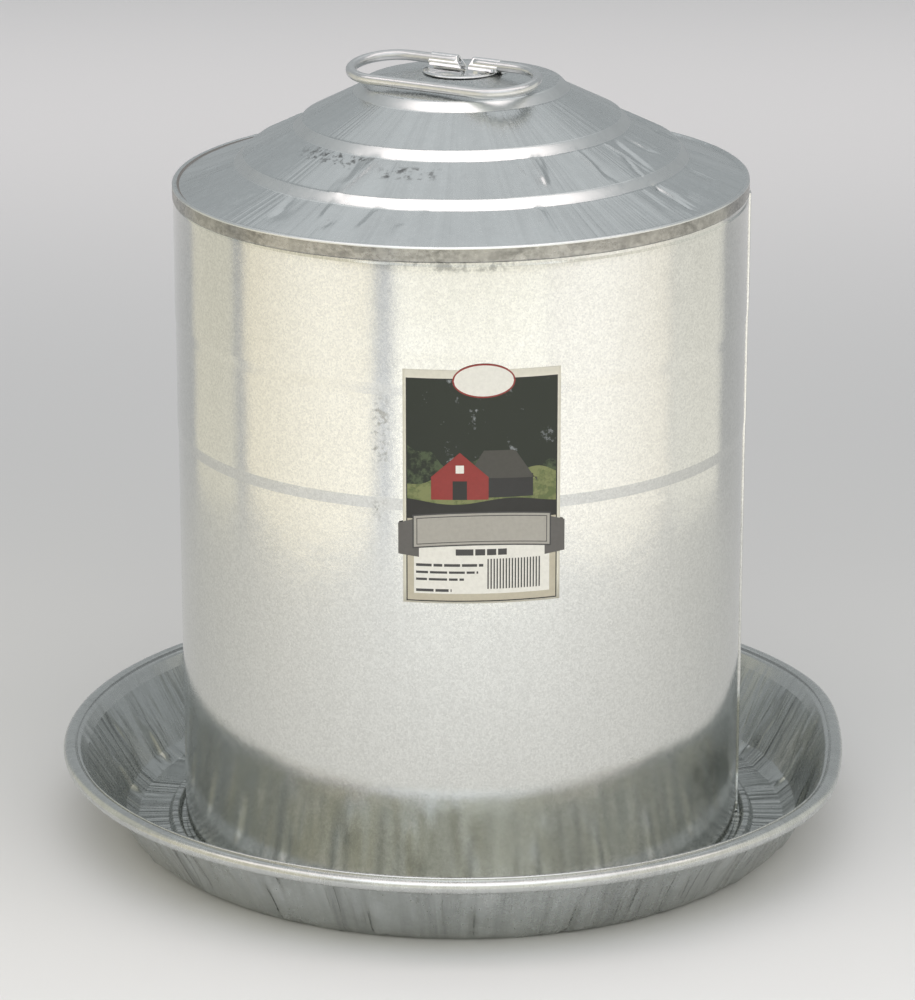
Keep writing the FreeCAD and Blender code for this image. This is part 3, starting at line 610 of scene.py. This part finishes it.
def make_label(inks):
    """A plain farm label: meadow, trees and shed, an empty ribbon, an empty oval and a panel of bars."""
    def arch(height):
        return lambda across: height + 1.4 - 1.9 * (across / 33.0) ** 2

    def hill(across):
        return 63.0 + 7.5 * math.sin((across + 30.0) / 26.0) + 1.2 * math.sin(across / 3.7)

    def treeline(across):
        return 74.0 + 3.5 * math.sin(across / 6.1 + 1) + 2.0 * math.sin(across / 2.3) - 0.1 * across

    def gable(low, high, middle, half):
        return lambda across: high - (high - low) * abs(across - middle) / half

    def path(across):
        return 53.0 + 1.5 * math.sin(across / 9.0)

    def eaves(across):
        return 65.0 - 0.02 * across

    def ridge(across):
        return min(79.0, 65.0 + 1.6 * (across + 8.0), 79.0 - 1.5 * (across - 16.0))

    def ribbon_low(sign):
        return lambda across: 25.5 - 0.12 * (sign * across + 41)

    def ribbon_high(sign):
        return lambda across: 41.5 + 0.3 * (sign * across + 41)

    side = LABEL_SIDE
    inner = side - 0.6
    pieces = [
        (sticker("label_paper", 0, -side - 1.6, side + 1.6, 0.6, LABEL_HIGH - LABEL_LOW - 4.2), "paper"),
        (sticker("label_frame", 1, -side, side, 1.5, 115.4), "black"),
        (sticker("label_sky", 2, -inner, inner, 45.0, 114.8), "leaves"),
        (sticker("label_trees", 3, -inner, inner, 48.0, treeline), "trees"),
        (sticker("label_meadow", 4, -inner, inner, 44.0, hill), "meadow"),
        (sticker("label_path", 5, -inner, inner, 44.0, path), "shade"),
        (sticker("label_shed_side", 6, 2.0, 25.0, 55.0, 66.5), "roof_shade"),
        (sticker("label_shed_roof", 7, -8.0, 27.0, eaves, ridge), "roof"),
        (sticker("label_shed_front", 8, -25.0, 3.0, 54.0, gable(65.5, 78.0, -11.0, 14.0), 0.7), "red"),
        (sticker("label_shed_door", 9, -14.5, -7.5, 54.0, 63.5), "shade"),
        (sticker("label_shed_window", 9, -13.0, -9.0, 67.5, 71.5), "white"),
        (sticker("label_foot", 4, -inner, inner, 2.1, 45.0), "tan"),
        (sticker("label_panel", 5, -33.5, 33.5, 5.6, 32.0), "white"),
        (sticker("label_ribbon_left", 7, -LABEL_ARC, -31.0, ribbon_low(1), ribbon_high(1)), "ribbon_back"),
        (sticker("label_ribbon_right", 7, 31.0, LABEL_ARC, ribbon_low(-1), ribbon_high(-1)), "ribbon_back"),
        (sticker("label_ribbon_edge", 9, -34.2, 34.2, arch(29.2), arch(46.4)), "ink"),
        (sticker("label_ribbon", 10, -33.5, 33.5, arch(29.9), arch(45.7)), "ribbon"),
        (sticker("label_ribbon_line", 11, -32.2, 32.2, arch(31.0), arch(44.6)), "ink"),
        (sticker("label_ribbon_field", 12, -31.8, 31.8, arch(31.4), arch(44.2)), "ribbon"),
        (oval("label_oval_edge", 8, 0.7, 114.2, 15.4, 8.6), "red"),
        (oval("label_oval", 9, 0.7, 114.2, 14.6, 7.8), "white"),
    ]
    # rows of plain bars: bottom, top, start and end; then upright stripes
    rows = (
        (25.4, 28.6, -13.0, 12.5),
        (19.6, 21.0, -32.5, 0.5),
        (16.0, 17.2, -32.5, -2.0),
        (12.4, 13.6, -32.5, -9.0),
        (6.6, 8.0, -32.5, -15.0),
    )
    gap = 0.9
    rng = np.random.default_rng(51)
    for row, (low, high, place, reach) in enumerate(rows):
        part = 0
        while place < reach:
            length = min(rng.uniform(3.0, 9.0), reach - place)
            bar = sticker("label_bar_%d_%d" % (row, part), 6, place, place + length, low, high)
            pieces.append((bar, "ink"))
            place += length + gap
            part += 1
    stripes, pitch, stroke = 18, 1.5, 0.7
    for k in range(stripes):
        start = 2.5 + pitch * k
        stripe = sticker("label_stripe_%d" % k, 6, start, start + stroke, 8.0, 23.5)
        pieces.append((stripe, "ink"))
    for piece, ink in pieces:
        dress(piece, inks[ink], "cover")
    thicken(pieces[0][0], PAPER, -1.0)
    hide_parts("label")


# --- the bail and its bracket ---------------------------------------------------------------------

def hinge_matrix(droop=0.0):
    """From the hinge's own frame (X along the wire, in metres) to the fount's."""
    turn = Matrix.Rotation(HINGE_TURN, 4, "Z") @ Matrix.Rotation(droop, 4, "X")
    return Matrix.Translation((0, 0, HINGE_HEIGHT * MM)) @ turn


def make_bail():
    left, right = BAIL_RUN
    left_end, right_end = BAIL_ENDS
    bend = BAIL_BEND
    turns = np.radians(np.arange(6, 180, 6))
    path = [(x, 0, 0) for x in np.linspace(right_end, right, 8)]
    path += [(right + bend * math.sin(a), -bend + bend * math.cos(a), 0) for a in turns]
    path += [(x, -2 * bend, 0) for x in np.linspace(right, left, 12)]
    path += [(left - bend * math.sin(a), -bend - bend * math.cos(a), 0) for a in turns]
    path += [(x, 0, 0) for x in np.linspace(left, left_end, 8)]
    piece = tube("bail_wire", path, WIRE, 24)
    piece.data.transform(hinge_matrix(BAIL_DROOP))
    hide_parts("bail")
    return piece


def strap(name, lower, upper):
    """One curl: a strip that rises behind the wire, passes over it and turns in under its front.

    lower and upper are its (left, right) ends at the disc and at the top of the wire.
    """
    inner = WIRE + 0.2
    base = CROWN_HEIGHT - HINGE_HEIGHT + 1.0
    section = [
        (inner + 6.0, base, 0),
        (inner + 0.6, base, 1.2),
        (inner + 0.1, 1.0, 2.0),
        (inner - 0.5, inner + 0.05, 2.2),
        (-0.4, inner + 0.3, 1.4),
        (-inner - 0.55, -0.9, 1.3),
        (-inner + 0.4, -inner - 0.35, 0),
    ]
    line = refine(rounded(section), 0.7)
    columns = 28
    vertices = []
    faces = []
    for y, z in line:
        lift = float(smooth_step(z, -inner, inner))
        start = lower[0] + (upper[0] - lower[0]) * lift
        end = lower[1] + (upper[1] - lower[1]) * lift
        vertices += [(x, y, z) for x in np.linspace(start, end, columns)]
    for j in range(len(line) - 1):
        for i in range(columns - 1):
            a = j * columns + i
            faces.append((a, a + 1, a + columns + 1, a + columns))
    piece = new_object(name, vertices, faces)
    thicken(piece, BRACKET_SHEET, 1.0)
    bevel = piece.modifiers.new("edge", "BEVEL")
    bevel.width = 0.2 * MM
    bevel.segments = 2
    bevel.limit_method = "ANGLE"
    return piece


def make_bail_bracket():
    """The disc on the crown, and its two curls over the wire."""
    base = CROWN_HEIGHT - HINGE_HEIGHT
    corners = [(0, 0.15, 0), (15.0, 0.15, 3.0), (18.2, 0.6, 1.0), (19.0, 0.35, 0.3), (19.2, 0.0, 0)]
    line = refine(rounded(corners), 1.0)

    def warp(angles, line):
        radius = line[..., 0]
        return 0.12 * waves(angles, seed=41, lowest=2, highest=9, count=5) * smooth_step(radius, 6, 17)

    disc = lathe("bracket_disc", line, 160, warp)
    thicken(disc, BRACKET_SHEET)
    disc.data.transform(Matrix.Translation((0, 0, (base + 0.55) * MM)))
    left = strap("bracket_curl_left", lower=(-17.4, 1.6), upper=(-17.2, -1.9))
    right = strap("bracket_curl_right", lower=(5.4, 22.2), upper=(7.2, 22.9))
    pieces = [disc, left, right]
    for piece in pieces:
        piece.data.transform(hinge_matrix())
    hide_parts("bail_bracket")
    return pieces


# --- materials ------------------------------------------------------------------------------------

class Nodes:
    """Short spelling for building a material's node tree."""

    def __init__(self, name):
        self.material = bpy.data.materials.new(name)
        self.material.use_nodes = True
        self.tree = self.material.node_tree
        self.shader = self.tree.nodes["Principled BSDF"]

    def add(self, kind, **inputs):
        """A new node; each keyword sets the socket of that name, or else the node's own property."""
        node = self.tree.nodes.new(kind)
        for key, value in inputs.items():
            if key in node.inputs:
                node.inputs[key].default_value = value
            else:
                setattr(node, key, value)
        return node

    def link(self, source, target):
        self.tree.links.new(source, target)

    def math(self, operation, first, second=0.0):
        node = self.add("ShaderNodeMath", operation=operation)
        for socket, value in zip(node.inputs, (first, second)):
            if isinstance(value, (int, float)):
                socket.default_value = value
            else:
                self.link(value, socket)
        return node.outputs[0]

    def noise(self, vector, scale, detail=3.0, rough=0.5):
        node = self.add("ShaderNodeTexNoise", Scale=scale, Detail=detail, Roughness=rough)
        self.link(vector, node.inputs["Vector"])
        return node.outputs["Fac"]

    def grey(self, factor):
        """A number as a shade from black to white."""
        node = self.add("ShaderNodeValToRGB")
        self.link(factor, node.inputs["Fac"])
        return node.outputs["Color"]

    def spread(self, factor, low, high, out_low=0.0, out_high=1.0):
        """Map low..high to out_low..out_high, clamped."""
        node = self.add("ShaderNodeMapRange")
        self.link(factor, node.inputs["Value"])
        limits = {"From Min": low, "From Max": high, "To Min": out_low, "To Max": out_high}
        for key, value in limits.items():
            node.inputs[key].default_value = value
        return node.outputs["Result"]

    def mix(self, factor, first, second, blend="MIX"):
        node = self.add("ShaderNodeMix", data_type="RGBA", blend_type=blend)
        sockets = [node.inputs["Factor"], node.inputs[6], node.inputs[7]]
        for socket, value in zip(sockets, (factor, first, second)):
            if isinstance(value, (int, float)):
                socket.default_value = value
            elif isinstance(value, tuple):
                socket.default_value = (*value, 1.0)
            else:
                self.link(value, socket)
        return node.outputs[2]

    def bump(self, height, strength, distance, normal=None):
        node = self.add("ShaderNodeBump", Strength=strength, Distance=distance)
        self.link(height, node.inputs["Height"])
        if normal is not None:
            self.link(normal, node.inputs["Normal"])
        return node.outputs["Normal"]


def round_coordinates(nodes, up, out):
    """Object coordinates unrolled round Z: a pattern place, the bare place, and angle, radius and height.

    up and out say how fast the pattern changes with height and radius; a small value makes long streaks.
    """
    place = nodes.add("ShaderNodeTexCoord").outputs["Object"]
    parts = nodes.add("ShaderNodeSeparateXYZ")
    nodes.link(place, parts.inputs[0])
    x, y, z = parts.outputs
    angle = nodes.math("ARCTAN2", y, x)
    squares = nodes.math("ADD", nodes.math("MULTIPLY", x, x), nodes.math("MULTIPLY", y, y))
    radius = nodes.math("SQRT", squares)
    # a circle instead of the bare angle, so that the pattern meets itself at the back
    joined = nodes.add("ShaderNodeCombineXYZ")
    nodes.link(nodes.math("COSINE", angle), joined.inputs[0])
    nodes.link(nodes.math("SINE", angle), joined.inputs[1])
    along = nodes.math("ADD", nodes.math("MULTIPLY", z, up), nodes.math("MULTIPLY", radius, out))
    nodes.link(along, joined.inputs[2])
    return joined.outputs[0], place, {"angle": angle, "radius": radius, "height": z}


def patch(nodes, source, middle, half):
    """1 near the middle value, 0 beyond half of it on either side."""
    gap = nodes.math("ABSOLUTE", nodes.math("SUBTRACT", source, middle))
    return nodes.spread(gap, half * 0.5, half, 1.0, 0.0)


def scuff_and_shadow_mask(nodes, place, where, scuffs_and_shadows):
    """Dark rub marks and painted shadows, 1 where rubbed or shaded.

    Each scuff or painted shadow: azimuth and half width in degrees, along what, its middle and half in mm,
    blotch scale.
    """
    total = 0.0
    for azimuth, width, along, middle, half, grain in scuffs_and_shadows:
        side = patch(nodes, where["angle"], math.radians(azimuth), math.radians(width))
        band = patch(nodes, where[along], middle * MM, half * MM)
        blotch = nodes.spread(nodes.noise(place, grain, 4.0, 0.6), 0.50, 0.62)
        mark = nodes.math("MULTIPLY", nodes.math("MULTIPLY", side, band), blotch)
        total = nodes.math("MAXIMUM", mark, total)
    return total


def galvanised(name, tint, roughness, grain_up, grain_out, mottle=0.10, streak=0.10, dull=0.0, fineness=1.0,
               tooth=0.2, ripple=0.0, scuffs_and_shadows=(), scuff_and_shadow_darkness=0.7, front=None):
    """Galvanised sheet: grain along the sheet, crystal mottling, streaks, a slow cloud of tone, rub marks and
    painted shadows, and a painted highlight toward -Y.

    grain_up and grain_out are round_coordinates' up and out.  mottle, streak, dull and
    scuff_and_shadow_darkness are shares of tone; tooth (a share) and ripple (in mm) roughen the surface;
    fineness scales the grain; front is the factor of tone on the side toward -Y, a painted highlight.
    """
    nodes = Nodes(name)
    grain_place, place, where = round_coordinates(nodes, grain_up, grain_out)
    grain = nodes.noise(grain_place, 230.0 * fineness, 4.0, 0.6)
    broad = nodes.noise(grain_place, 42.0, 3.0, 0.5)
    speckle = nodes.noise(place, 700.0 * fineness, 2.0, 0.7)
    crystal = nodes.add("ShaderNodeTexVoronoi", Scale=330.0 * fineness)
    nodes.link(place, crystal.inputs["Vector"])
    cloud = nodes.noise(place, 14.0, 4.0, 0.55)

    light = tuple(min(1.0, c * (1 + mottle)) for c in tint)
    dark = tuple(c * (1 - mottle) for c in tint)
    tone = nodes.math("ADD", nodes.math("MULTIPLY", grain, 0.35), nodes.math("MULTIPLY", speckle, 0.45))
    tone = nodes.math("ADD", tone, nodes.math("MULTIPLY", crystal.outputs["Color"], 0.2))
    colour = nodes.mix(nodes.spread(tone, 0.40, 0.60), dark, light)
    gather = nodes.spread(nodes.noise(grain_place, 7.0, 2.0, 0.5), 0.38, 0.62, 0.15, 1.0)
    ridge = nodes.math("MULTIPLY", nodes.spread(broad, 0.36, 0.64), gather)
    shade = nodes.spread(ridge, 0.0, 1.0, 1.0, 1 - streak)
    colour = nodes.mix(1.0, colour, nodes.grey(shade), "MULTIPLY")
    if dull:
        stain = nodes.spread(cloud, 0.42, 0.62, 0.0, dull)
        colour = nodes.mix(stain, colour, tuple(c * 0.72 for c in tint))
    # painted highlight: the side toward -Y is lightened where the front light would shine
    if front is not None:
        painted_highlight_side = nodes.spread(nodes.math("SINE", where["angle"]), -0.95, -0.35, 1.0, 0.0)
        colour = nodes.mix(painted_highlight_side, colour, tuple(c * front for c in tint))
    rough = nodes.math("ADD", nodes.spread(tone, 0.3, 0.7, roughness - 0.03, roughness + 0.05),
                       nodes.spread(cloud, 0.35, 0.65, -0.02, 0.03))
    # rub marks darken the tone; on the wall the last entry is a painted shadow under the chime
    if scuffs_and_shadows:
        mask = scuff_and_shadow_mask(nodes, place, where, scuffs_and_shadows)
        colour = nodes.mix(mask, colour, tuple(c * (1 - scuff_and_shadow_darkness) for c in tint))
        rough = nodes.math("ADD", rough, nodes.math("MULTIPLY", mask, 0.2))
    nodes.link(colour, nodes.shader.inputs["Base Color"])
    nodes.shader.inputs["Metallic"].default_value = 1.0
    nodes.link(rough, nodes.shader.inputs["Roughness"])
    normal = nodes.bump(tone, tooth, 0.0004)
    if ripple:
        normal = nodes.bump(ridge, 1.0, ripple * MM, normal)
    nodes.link(nodes.bump(cloud, 0.10, 0.004, normal), nodes.shader.inputs["Normal"])
    return nodes.material


def plain_metal(name, tint, roughness, scale=260.0, metallic=1.0):
    """A fine-grained surface of nearly one tone; metallic is 0 for rubber, sealant and print."""
    nodes = Nodes(name)
    place = nodes.add("ShaderNodeTexCoord").outputs["Object"]
    fine = nodes.noise(place, scale, 4.0, 0.6)
    cloud = nodes.noise(place, scale / 9, 3.0, 0.5)
    colour = nodes.mix(nodes.spread(fine, 0.3, 0.7), tuple(c * 0.9 for c in tint), tint)
    nodes.link(colour, nodes.shader.inputs["Base Color"])
    nodes.shader.inputs["Metallic"].default_value = metallic
    rough = nodes.spread(cloud, 0.3, 0.7, roughness * 0.85, roughness * 1.25)
    nodes.link(rough, nodes.shader.inputs["Roughness"])
    nodes.link(nodes.bump(fine, 0.12, 0.0003), nodes.shader.inputs["Normal"])
    return nodes.material


def print_ink(name, colour, roughness=0.42):
    """Printed paper of one colour with a faint tooth."""
    return plain_metal(name, colour, roughness, 500.0, 0.0)


def foliage_ink(name, dark, light, scale, cut):
    """Printed leaves: a dark mass broken by lighter specks."""
    nodes = Nodes(name)
    place = nodes.add("ShaderNodeTexCoord").outputs["Object"]
    leaves = nodes.noise(place, scale, 5.0, 0.7)
    colour = nodes.mix(nodes.spread(leaves, cut, cut + 0.12), dark, light)
    nodes.link(colour, nodes.shader.inputs["Base Color"])
    nodes.shader.inputs["Roughness"].default_value = 0.42
    return nodes.material


def dress(piece, material, body=None):
    """Give a piece its material, and a new piece the body that it rides."""
    piece.data.materials.clear()
    piece.data.materials.append(material)
    if body is not None:
        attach(piece, body)


def dress_pan(pan, rim):
    """The rolled rim is smoother than the pan's wall."""
    pan.data.materials.append(rim)
    for face in pan.data.polygons:
        x, y, z = face.center / MM
        near_rim = math.hypot(x, y) > PAN_RADIUS - 17.0
        if near_rim and z > PAN_HEIGHT - 8.0:
            face.material_index = 1


def dress_cap(cap, chime, riser):
    """The double seam round the cap's edge is duller than its zones; the pressed risers and the seam's top
    corner take the riser material, whose side toward -Y carries a painted highlight.
    """
    cap.data.materials.append(chime)
    cap.data.materials.append(riser)
    margin = 0.2
    for face in cap.data.polygons:
        x, y, z = face.center / MM
        radius = math.hypot(x, y)
        height = z - CAP_LEAN[0] * x - CAP_LEAN[1] * y
        # the seam's top corner takes the riser material: a painted bright highlight line along its front
        if radius > CHIME_INSIDE and height > CHIME_TOP - 1.3:
            face.material_index = 2
        elif radius > CHIME_INSIDE:
            face.material_index = 1
        elif any(foot - RISER_RUN - margin < radius < foot + margin for foot, _ in RISERS):
            face.material_index = 2


# --- stage, light and camera, in metres -----------------------------------------------------------

def make_floor():
    size = 9.0
    mesh = bpy.data.meshes.new("studio_floor")
    corners = [(-size, -size, 0), (size, -size, 0), (size, size, 0), (-size, size, 0)]
    mesh.from_pydata(corners, [], [(0, 1, 2, 3)])
    floor = bpy.data.objects.new("studio_floor", mesh)
    bpy.context.scene.collection.objects.link(floor)
    nodes = Nodes("studio_paper")
    nodes.shader.inputs["Base Color"].default_value = (0.74, 0.745, 0.75, 1)
    nodes.shader.inputs["Roughness"].default_value = 0.9
    nodes.shader.inputs["Specular IOR Level"].default_value = 0.1
    mesh.materials.append(nodes.material)


def panel(name, place, aim, width, height, power, colour, spread=180.0):
    """A rectangular lamp at a place, aimed at a point; spread is in degrees."""
    lamp = bpy.data.lights.new(name, "AREA")
    lamp.shape = "RECTANGLE"
    lamp.size = width
    lamp.size_y = height
    lamp.energy = power
    lamp.color = colour
    lamp.spread = math.radians(spread)
    holder = bpy.data.objects.new(name, lamp)
    holder.location = place
    holder.rotation_euler = (Vector(aim) - Vector(place)).to_track_quat("-Z", "Y").to_euler()
    holder.visible_camera = False
    bpy.context.scene.collection.objects.link(holder)


# cream cards that glow round the fount: start and end in degrees from the camera's side, glow and colour
CARDS = {
    "left_back": (-124.0, -92.5, 0.50, (1.0, 0.88, 0.50)),
    "left": (-88.0, -31.0, 0.83, (1.0, 0.84, 0.48)),
    "front": (-24.0, 31.3, 1.14, (1.0, 0.93, 0.73)),
    "right": (31.6, 84.0, 0.95, (1.0, 0.90, 0.70)),
    "right_back": (84.5, 118.0, 0.71, (1.0, 0.94, 0.76)),
}
CARD_REACH = 0.72
CARD_HEIGHT = 0.62
# the other lamps: place, the point that each is aimed at, width, height, power, colour and spread in degrees
LAMPS = {
    "softbox": ((0, -0.5, 2.2), (0, -0.5, 0), 5.4, 1.0, 19.5, (1.0, 0.89, 0.86), 180.0),
    "front_low": ((0, -0.95, 1.2), (0, -0.8, 0), 3.2, 0.6, 4.8, (0.86, 0.90, 1.0), 80.0),
    "front_high": ((0, -1.6, 1.6), (0, -0.1, 0.1), 3.2, 0.9, 5.0, (1.0, 1.0, 1.0), 180.0),
    "overhead": ((0, 1.1, 2.2), (0, 0.2, 0.3), 2.2, 1.4, 2.6, (1.0, 1.0, 1.0), 180.0),
    "backdrop": ((0, 1.65, 1.3), (0, 1.75, 0), 3.6, 0.9, 4.9, (1.0, 0.90, 0.88), 90.0),
}


def make_lights():
    for name, (start, end, glow, colour) in CARDS.items():
        turn = math.radians((start + end) / 2 - 90)
        half = math.radians((end - start) / 2)
        # a wide card stands a little further out than the chord of its arc
        reach = CARD_REACH * (math.cos(half) if half < 0.4 else 0.94)
        width = 2 * reach * math.tan(half)
        place = (reach * math.cos(turn), reach * math.sin(turn), CARD_HEIGHT / 2)
        panel("card_" + name, place, (0, 0, CARD_HEIGHT / 2), width, CARD_HEIGHT, glow * width, colour)
    for name, lamp in LAMPS.items():
        panel(name, *lamp)
    world = bpy.data.worlds.new("studio")
    world.use_nodes = True
    world.node_tree.nodes["Background"].inputs["Color"].default_value = (0.94, 0.985, 1.0, 1)
    world.node_tree.nodes["Background"].inputs["Strength"].default_value = 0.46
    bpy.context.scene.world = world
    bpy.context.scene.view_settings.view_transform = "Standard"


def make_camera():
    distance, height = 2.200, 0.8878
    pitch = math.radians(17.79)
    camera = bpy.data.cameras.new("camera")
    camera.sensor_fit = "AUTO"
    camera.sensor_width = 36.0
    camera.lens = 159.7464
    camera.shift_x = -0.0033
    camera.shift_y = -0.01485
    camera.clip_start = 0.1
    camera.clip_end = 60.0
    holder = bpy.data.objects.new("camera", camera)
    holder.location = (0, -distance, height)
    holder.rotation_euler = (math.pi / 2 - pitch, 0, 0)
    bpy.context.scene.collection.objects.link(holder)
    bpy.context.scene.camera = holder


# --- build ----------------------------------------------------------------------------------------

# rub marks, and last on the wall a painted shadow under the chime: azimuth and half width in degrees, along
# what, its middle and half in mm, grain of the blotches
WALL_SCUFFS_AND_SHADOW = (
    (-105.6, 2.2, "height", 255.0, 22.0, 420.0),
    (-105.8, 1.6, "height", 214.0, 6.0, 420.0),
    # painted shadow under the chime's front overhang, not a rub mark
    (-91.0, 14.0, "height", 338.6, 3.4, 200.0),
)
CAP_SCUFFS = ((-134.0, 19.0, "radius", 89.5, 5.5, 260.0), (-106.0, 11.0, "radius", 94.0, 5.0, 260.0))

make_camera()
make_floor()
make_lights()

wall_metal = galvanised(
    "galvanised_wall", tint=(0.715, 0.72, 0.69), roughness=0.075, grain_up=0.7, grain_out=0.0,
    mottle=0.12, streak=0.02, fineness=3.4, tooth=0.08, scuffs_and_shadows=WALL_SCUFFS_AND_SHADOW, scuff_and_shadow_darkness=0.4,
)
cap_metal = galvanised(
    "galvanised_cap", tint=(0.68, 0.705, 0.71), roughness=0.24, grain_up=0.0, grain_out=0.10,
    mottle=0.03, streak=0.10, dull=0.2, tooth=0.05, ripple=0.15, scuffs_and_shadows=CAP_SCUFFS,
)
# the risers' material: front=1.32 lightens their side toward -Y, a painted highlight
riser_metal = galvanised(
    "galvanised_riser", tint=(0.70, 0.715, 0.715), roughness=0.29, grain_up=0.0, grain_out=0.10,
    mottle=0.03, streak=0.06, tooth=0.05, front=1.32,
)
chime_metal = galvanised(
    "galvanised_chime", tint=(0.41, 0.405, 0.38), roughness=0.26, grain_up=10.0, grain_out=0.7,
    mottle=0.16, streak=0.35, fineness=0.3,
)
pan_metal = galvanised(
    "galvanised_pan", tint=(0.54, 0.56, 0.55), roughness=0.24, grain_up=0.2, grain_out=0.10,
    mottle=0.05, streak=0.24, dull=0.1, tooth=0.05, ripple=0.7,
)
rim_metal = galvanised(
    "galvanised_rim", tint=(0.58, 0.595, 0.585), roughness=0.25, grain_up=0.2, grain_out=0.10,
    mottle=0.05, streak=0.10, tooth=0.05,
)
tank_metal = galvanised(
    "galvanised_tank", tint=(0.70, 0.71, 0.70), roughness=0.28, grain_up=0.10, grain_out=0.0,
    mottle=0.10, streak=0.08,
)
small_metal = plain_metal("galvanised_small", (0.68, 0.69, 0.69), 0.32)
rivet_metal = plain_metal("rivet_zinc", (0.70, 0.71, 0.72), 0.28)
pin_metal = plain_metal("drawn_steel", (0.62, 0.62, 0.63), 0.25)
brass_metal = plain_metal("brass", (0.78, 0.60, 0.30), 0.25)
solder_metal = plain_metal("solder", (0.55, 0.56, 0.57), 0.45)
bright_zinc = plain_metal("bright_zinc", (0.90, 0.91, 0.92), 0.12, 180.0)
bright_wire = plain_metal("bright_wire", (0.75, 0.76, 0.765), 0.28, 320.0)
rubber = plain_metal("rubber", (0.03, 0.03, 0.03), 0.75, 400.0, 0.0)
sealant = plain_metal("sealant", (0.22, 0.21, 0.20), 0.6, 300.0, 0.0)
INKS = {
    "paper": print_ink("paper_cream", (0.72, 0.70, 0.60)),
    "white": print_ink("paper_white", (0.80, 0.79, 0.74)),
    "tan": print_ink("ink_tan", (0.52, 0.48, 0.38)),
    "black": print_ink("ink_black", (0.02, 0.02, 0.02)),
    "ink": print_ink("ink_dark", (0.06, 0.06, 0.06)),
    "red": print_ink("ink_red", (0.28, 0.035, 0.03)),
    "roof": print_ink("ink_roof", (0.07, 0.068, 0.06)),
    "roof_shade": print_ink("ink_roof_shade", (0.03, 0.03, 0.03)),
    "shade": print_ink("ink_shade", (0.022, 0.022, 0.02)),
    "ribbon": print_ink("ink_ribbon", (0.40, 0.385, 0.35)),
    "ribbon_back": print_ink("ink_ribbon_back", (0.12, 0.115, 0.11)),
    "leaves": foliage_ink("ink_leaves", (0.014, 0.02, 0.012), (0.42, 0.45, 0.48), 95.0, 0.60),
    "trees": foliage_ink("ink_trees", (0.012, 0.018, 0.010), (0.06, 0.085, 0.04), 180.0, 0.45),
    "meadow": foliage_ink("ink_meadow", (0.11, 0.14, 0.05), (0.20, 0.22, 0.09), 160.0, 0.42),
}

pan = make_pan()
dress(pan, pan_metal, "base")
dress_pan(pan, rim_metal)
dress(make_cover_shell(), wall_metal, "cover")
dress(make_cover_seam(), wall_metal, "cover")
cap = make_cover_cap()
dress(cap, cap_metal, "cover")
dress_cap(cap, chime_metal, riser_metal)
make_label(INKS)
dress(make_bail(), bright_wire, "bail")
for piece in make_bail_bracket():
    dress(piece, bright_zinc, "cover")

CARRIED = {
    "tank_shell": tank_metal, "tank_bottom": tank_metal, "tank_solder": solder_metal,
    "outlet_eyelet": brass_metal, "valve_bracket": small_metal, "bracket_rivets": rivet_metal,
    "valve_pin": pin_metal, "valve_lever": small_metal, "valve_pad": rubber, "pad_rivet": rivet_metal,
    "valve_spring": pin_metal, "lock_lugs": small_metal, "lug_rivets": rivet_metal,
    "lock_tabs": small_metal, "valve_cam": small_metal, "cap_seal_ring": sealant,
}
for node, material in CARRIED.items():
    dress(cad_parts[node], material)
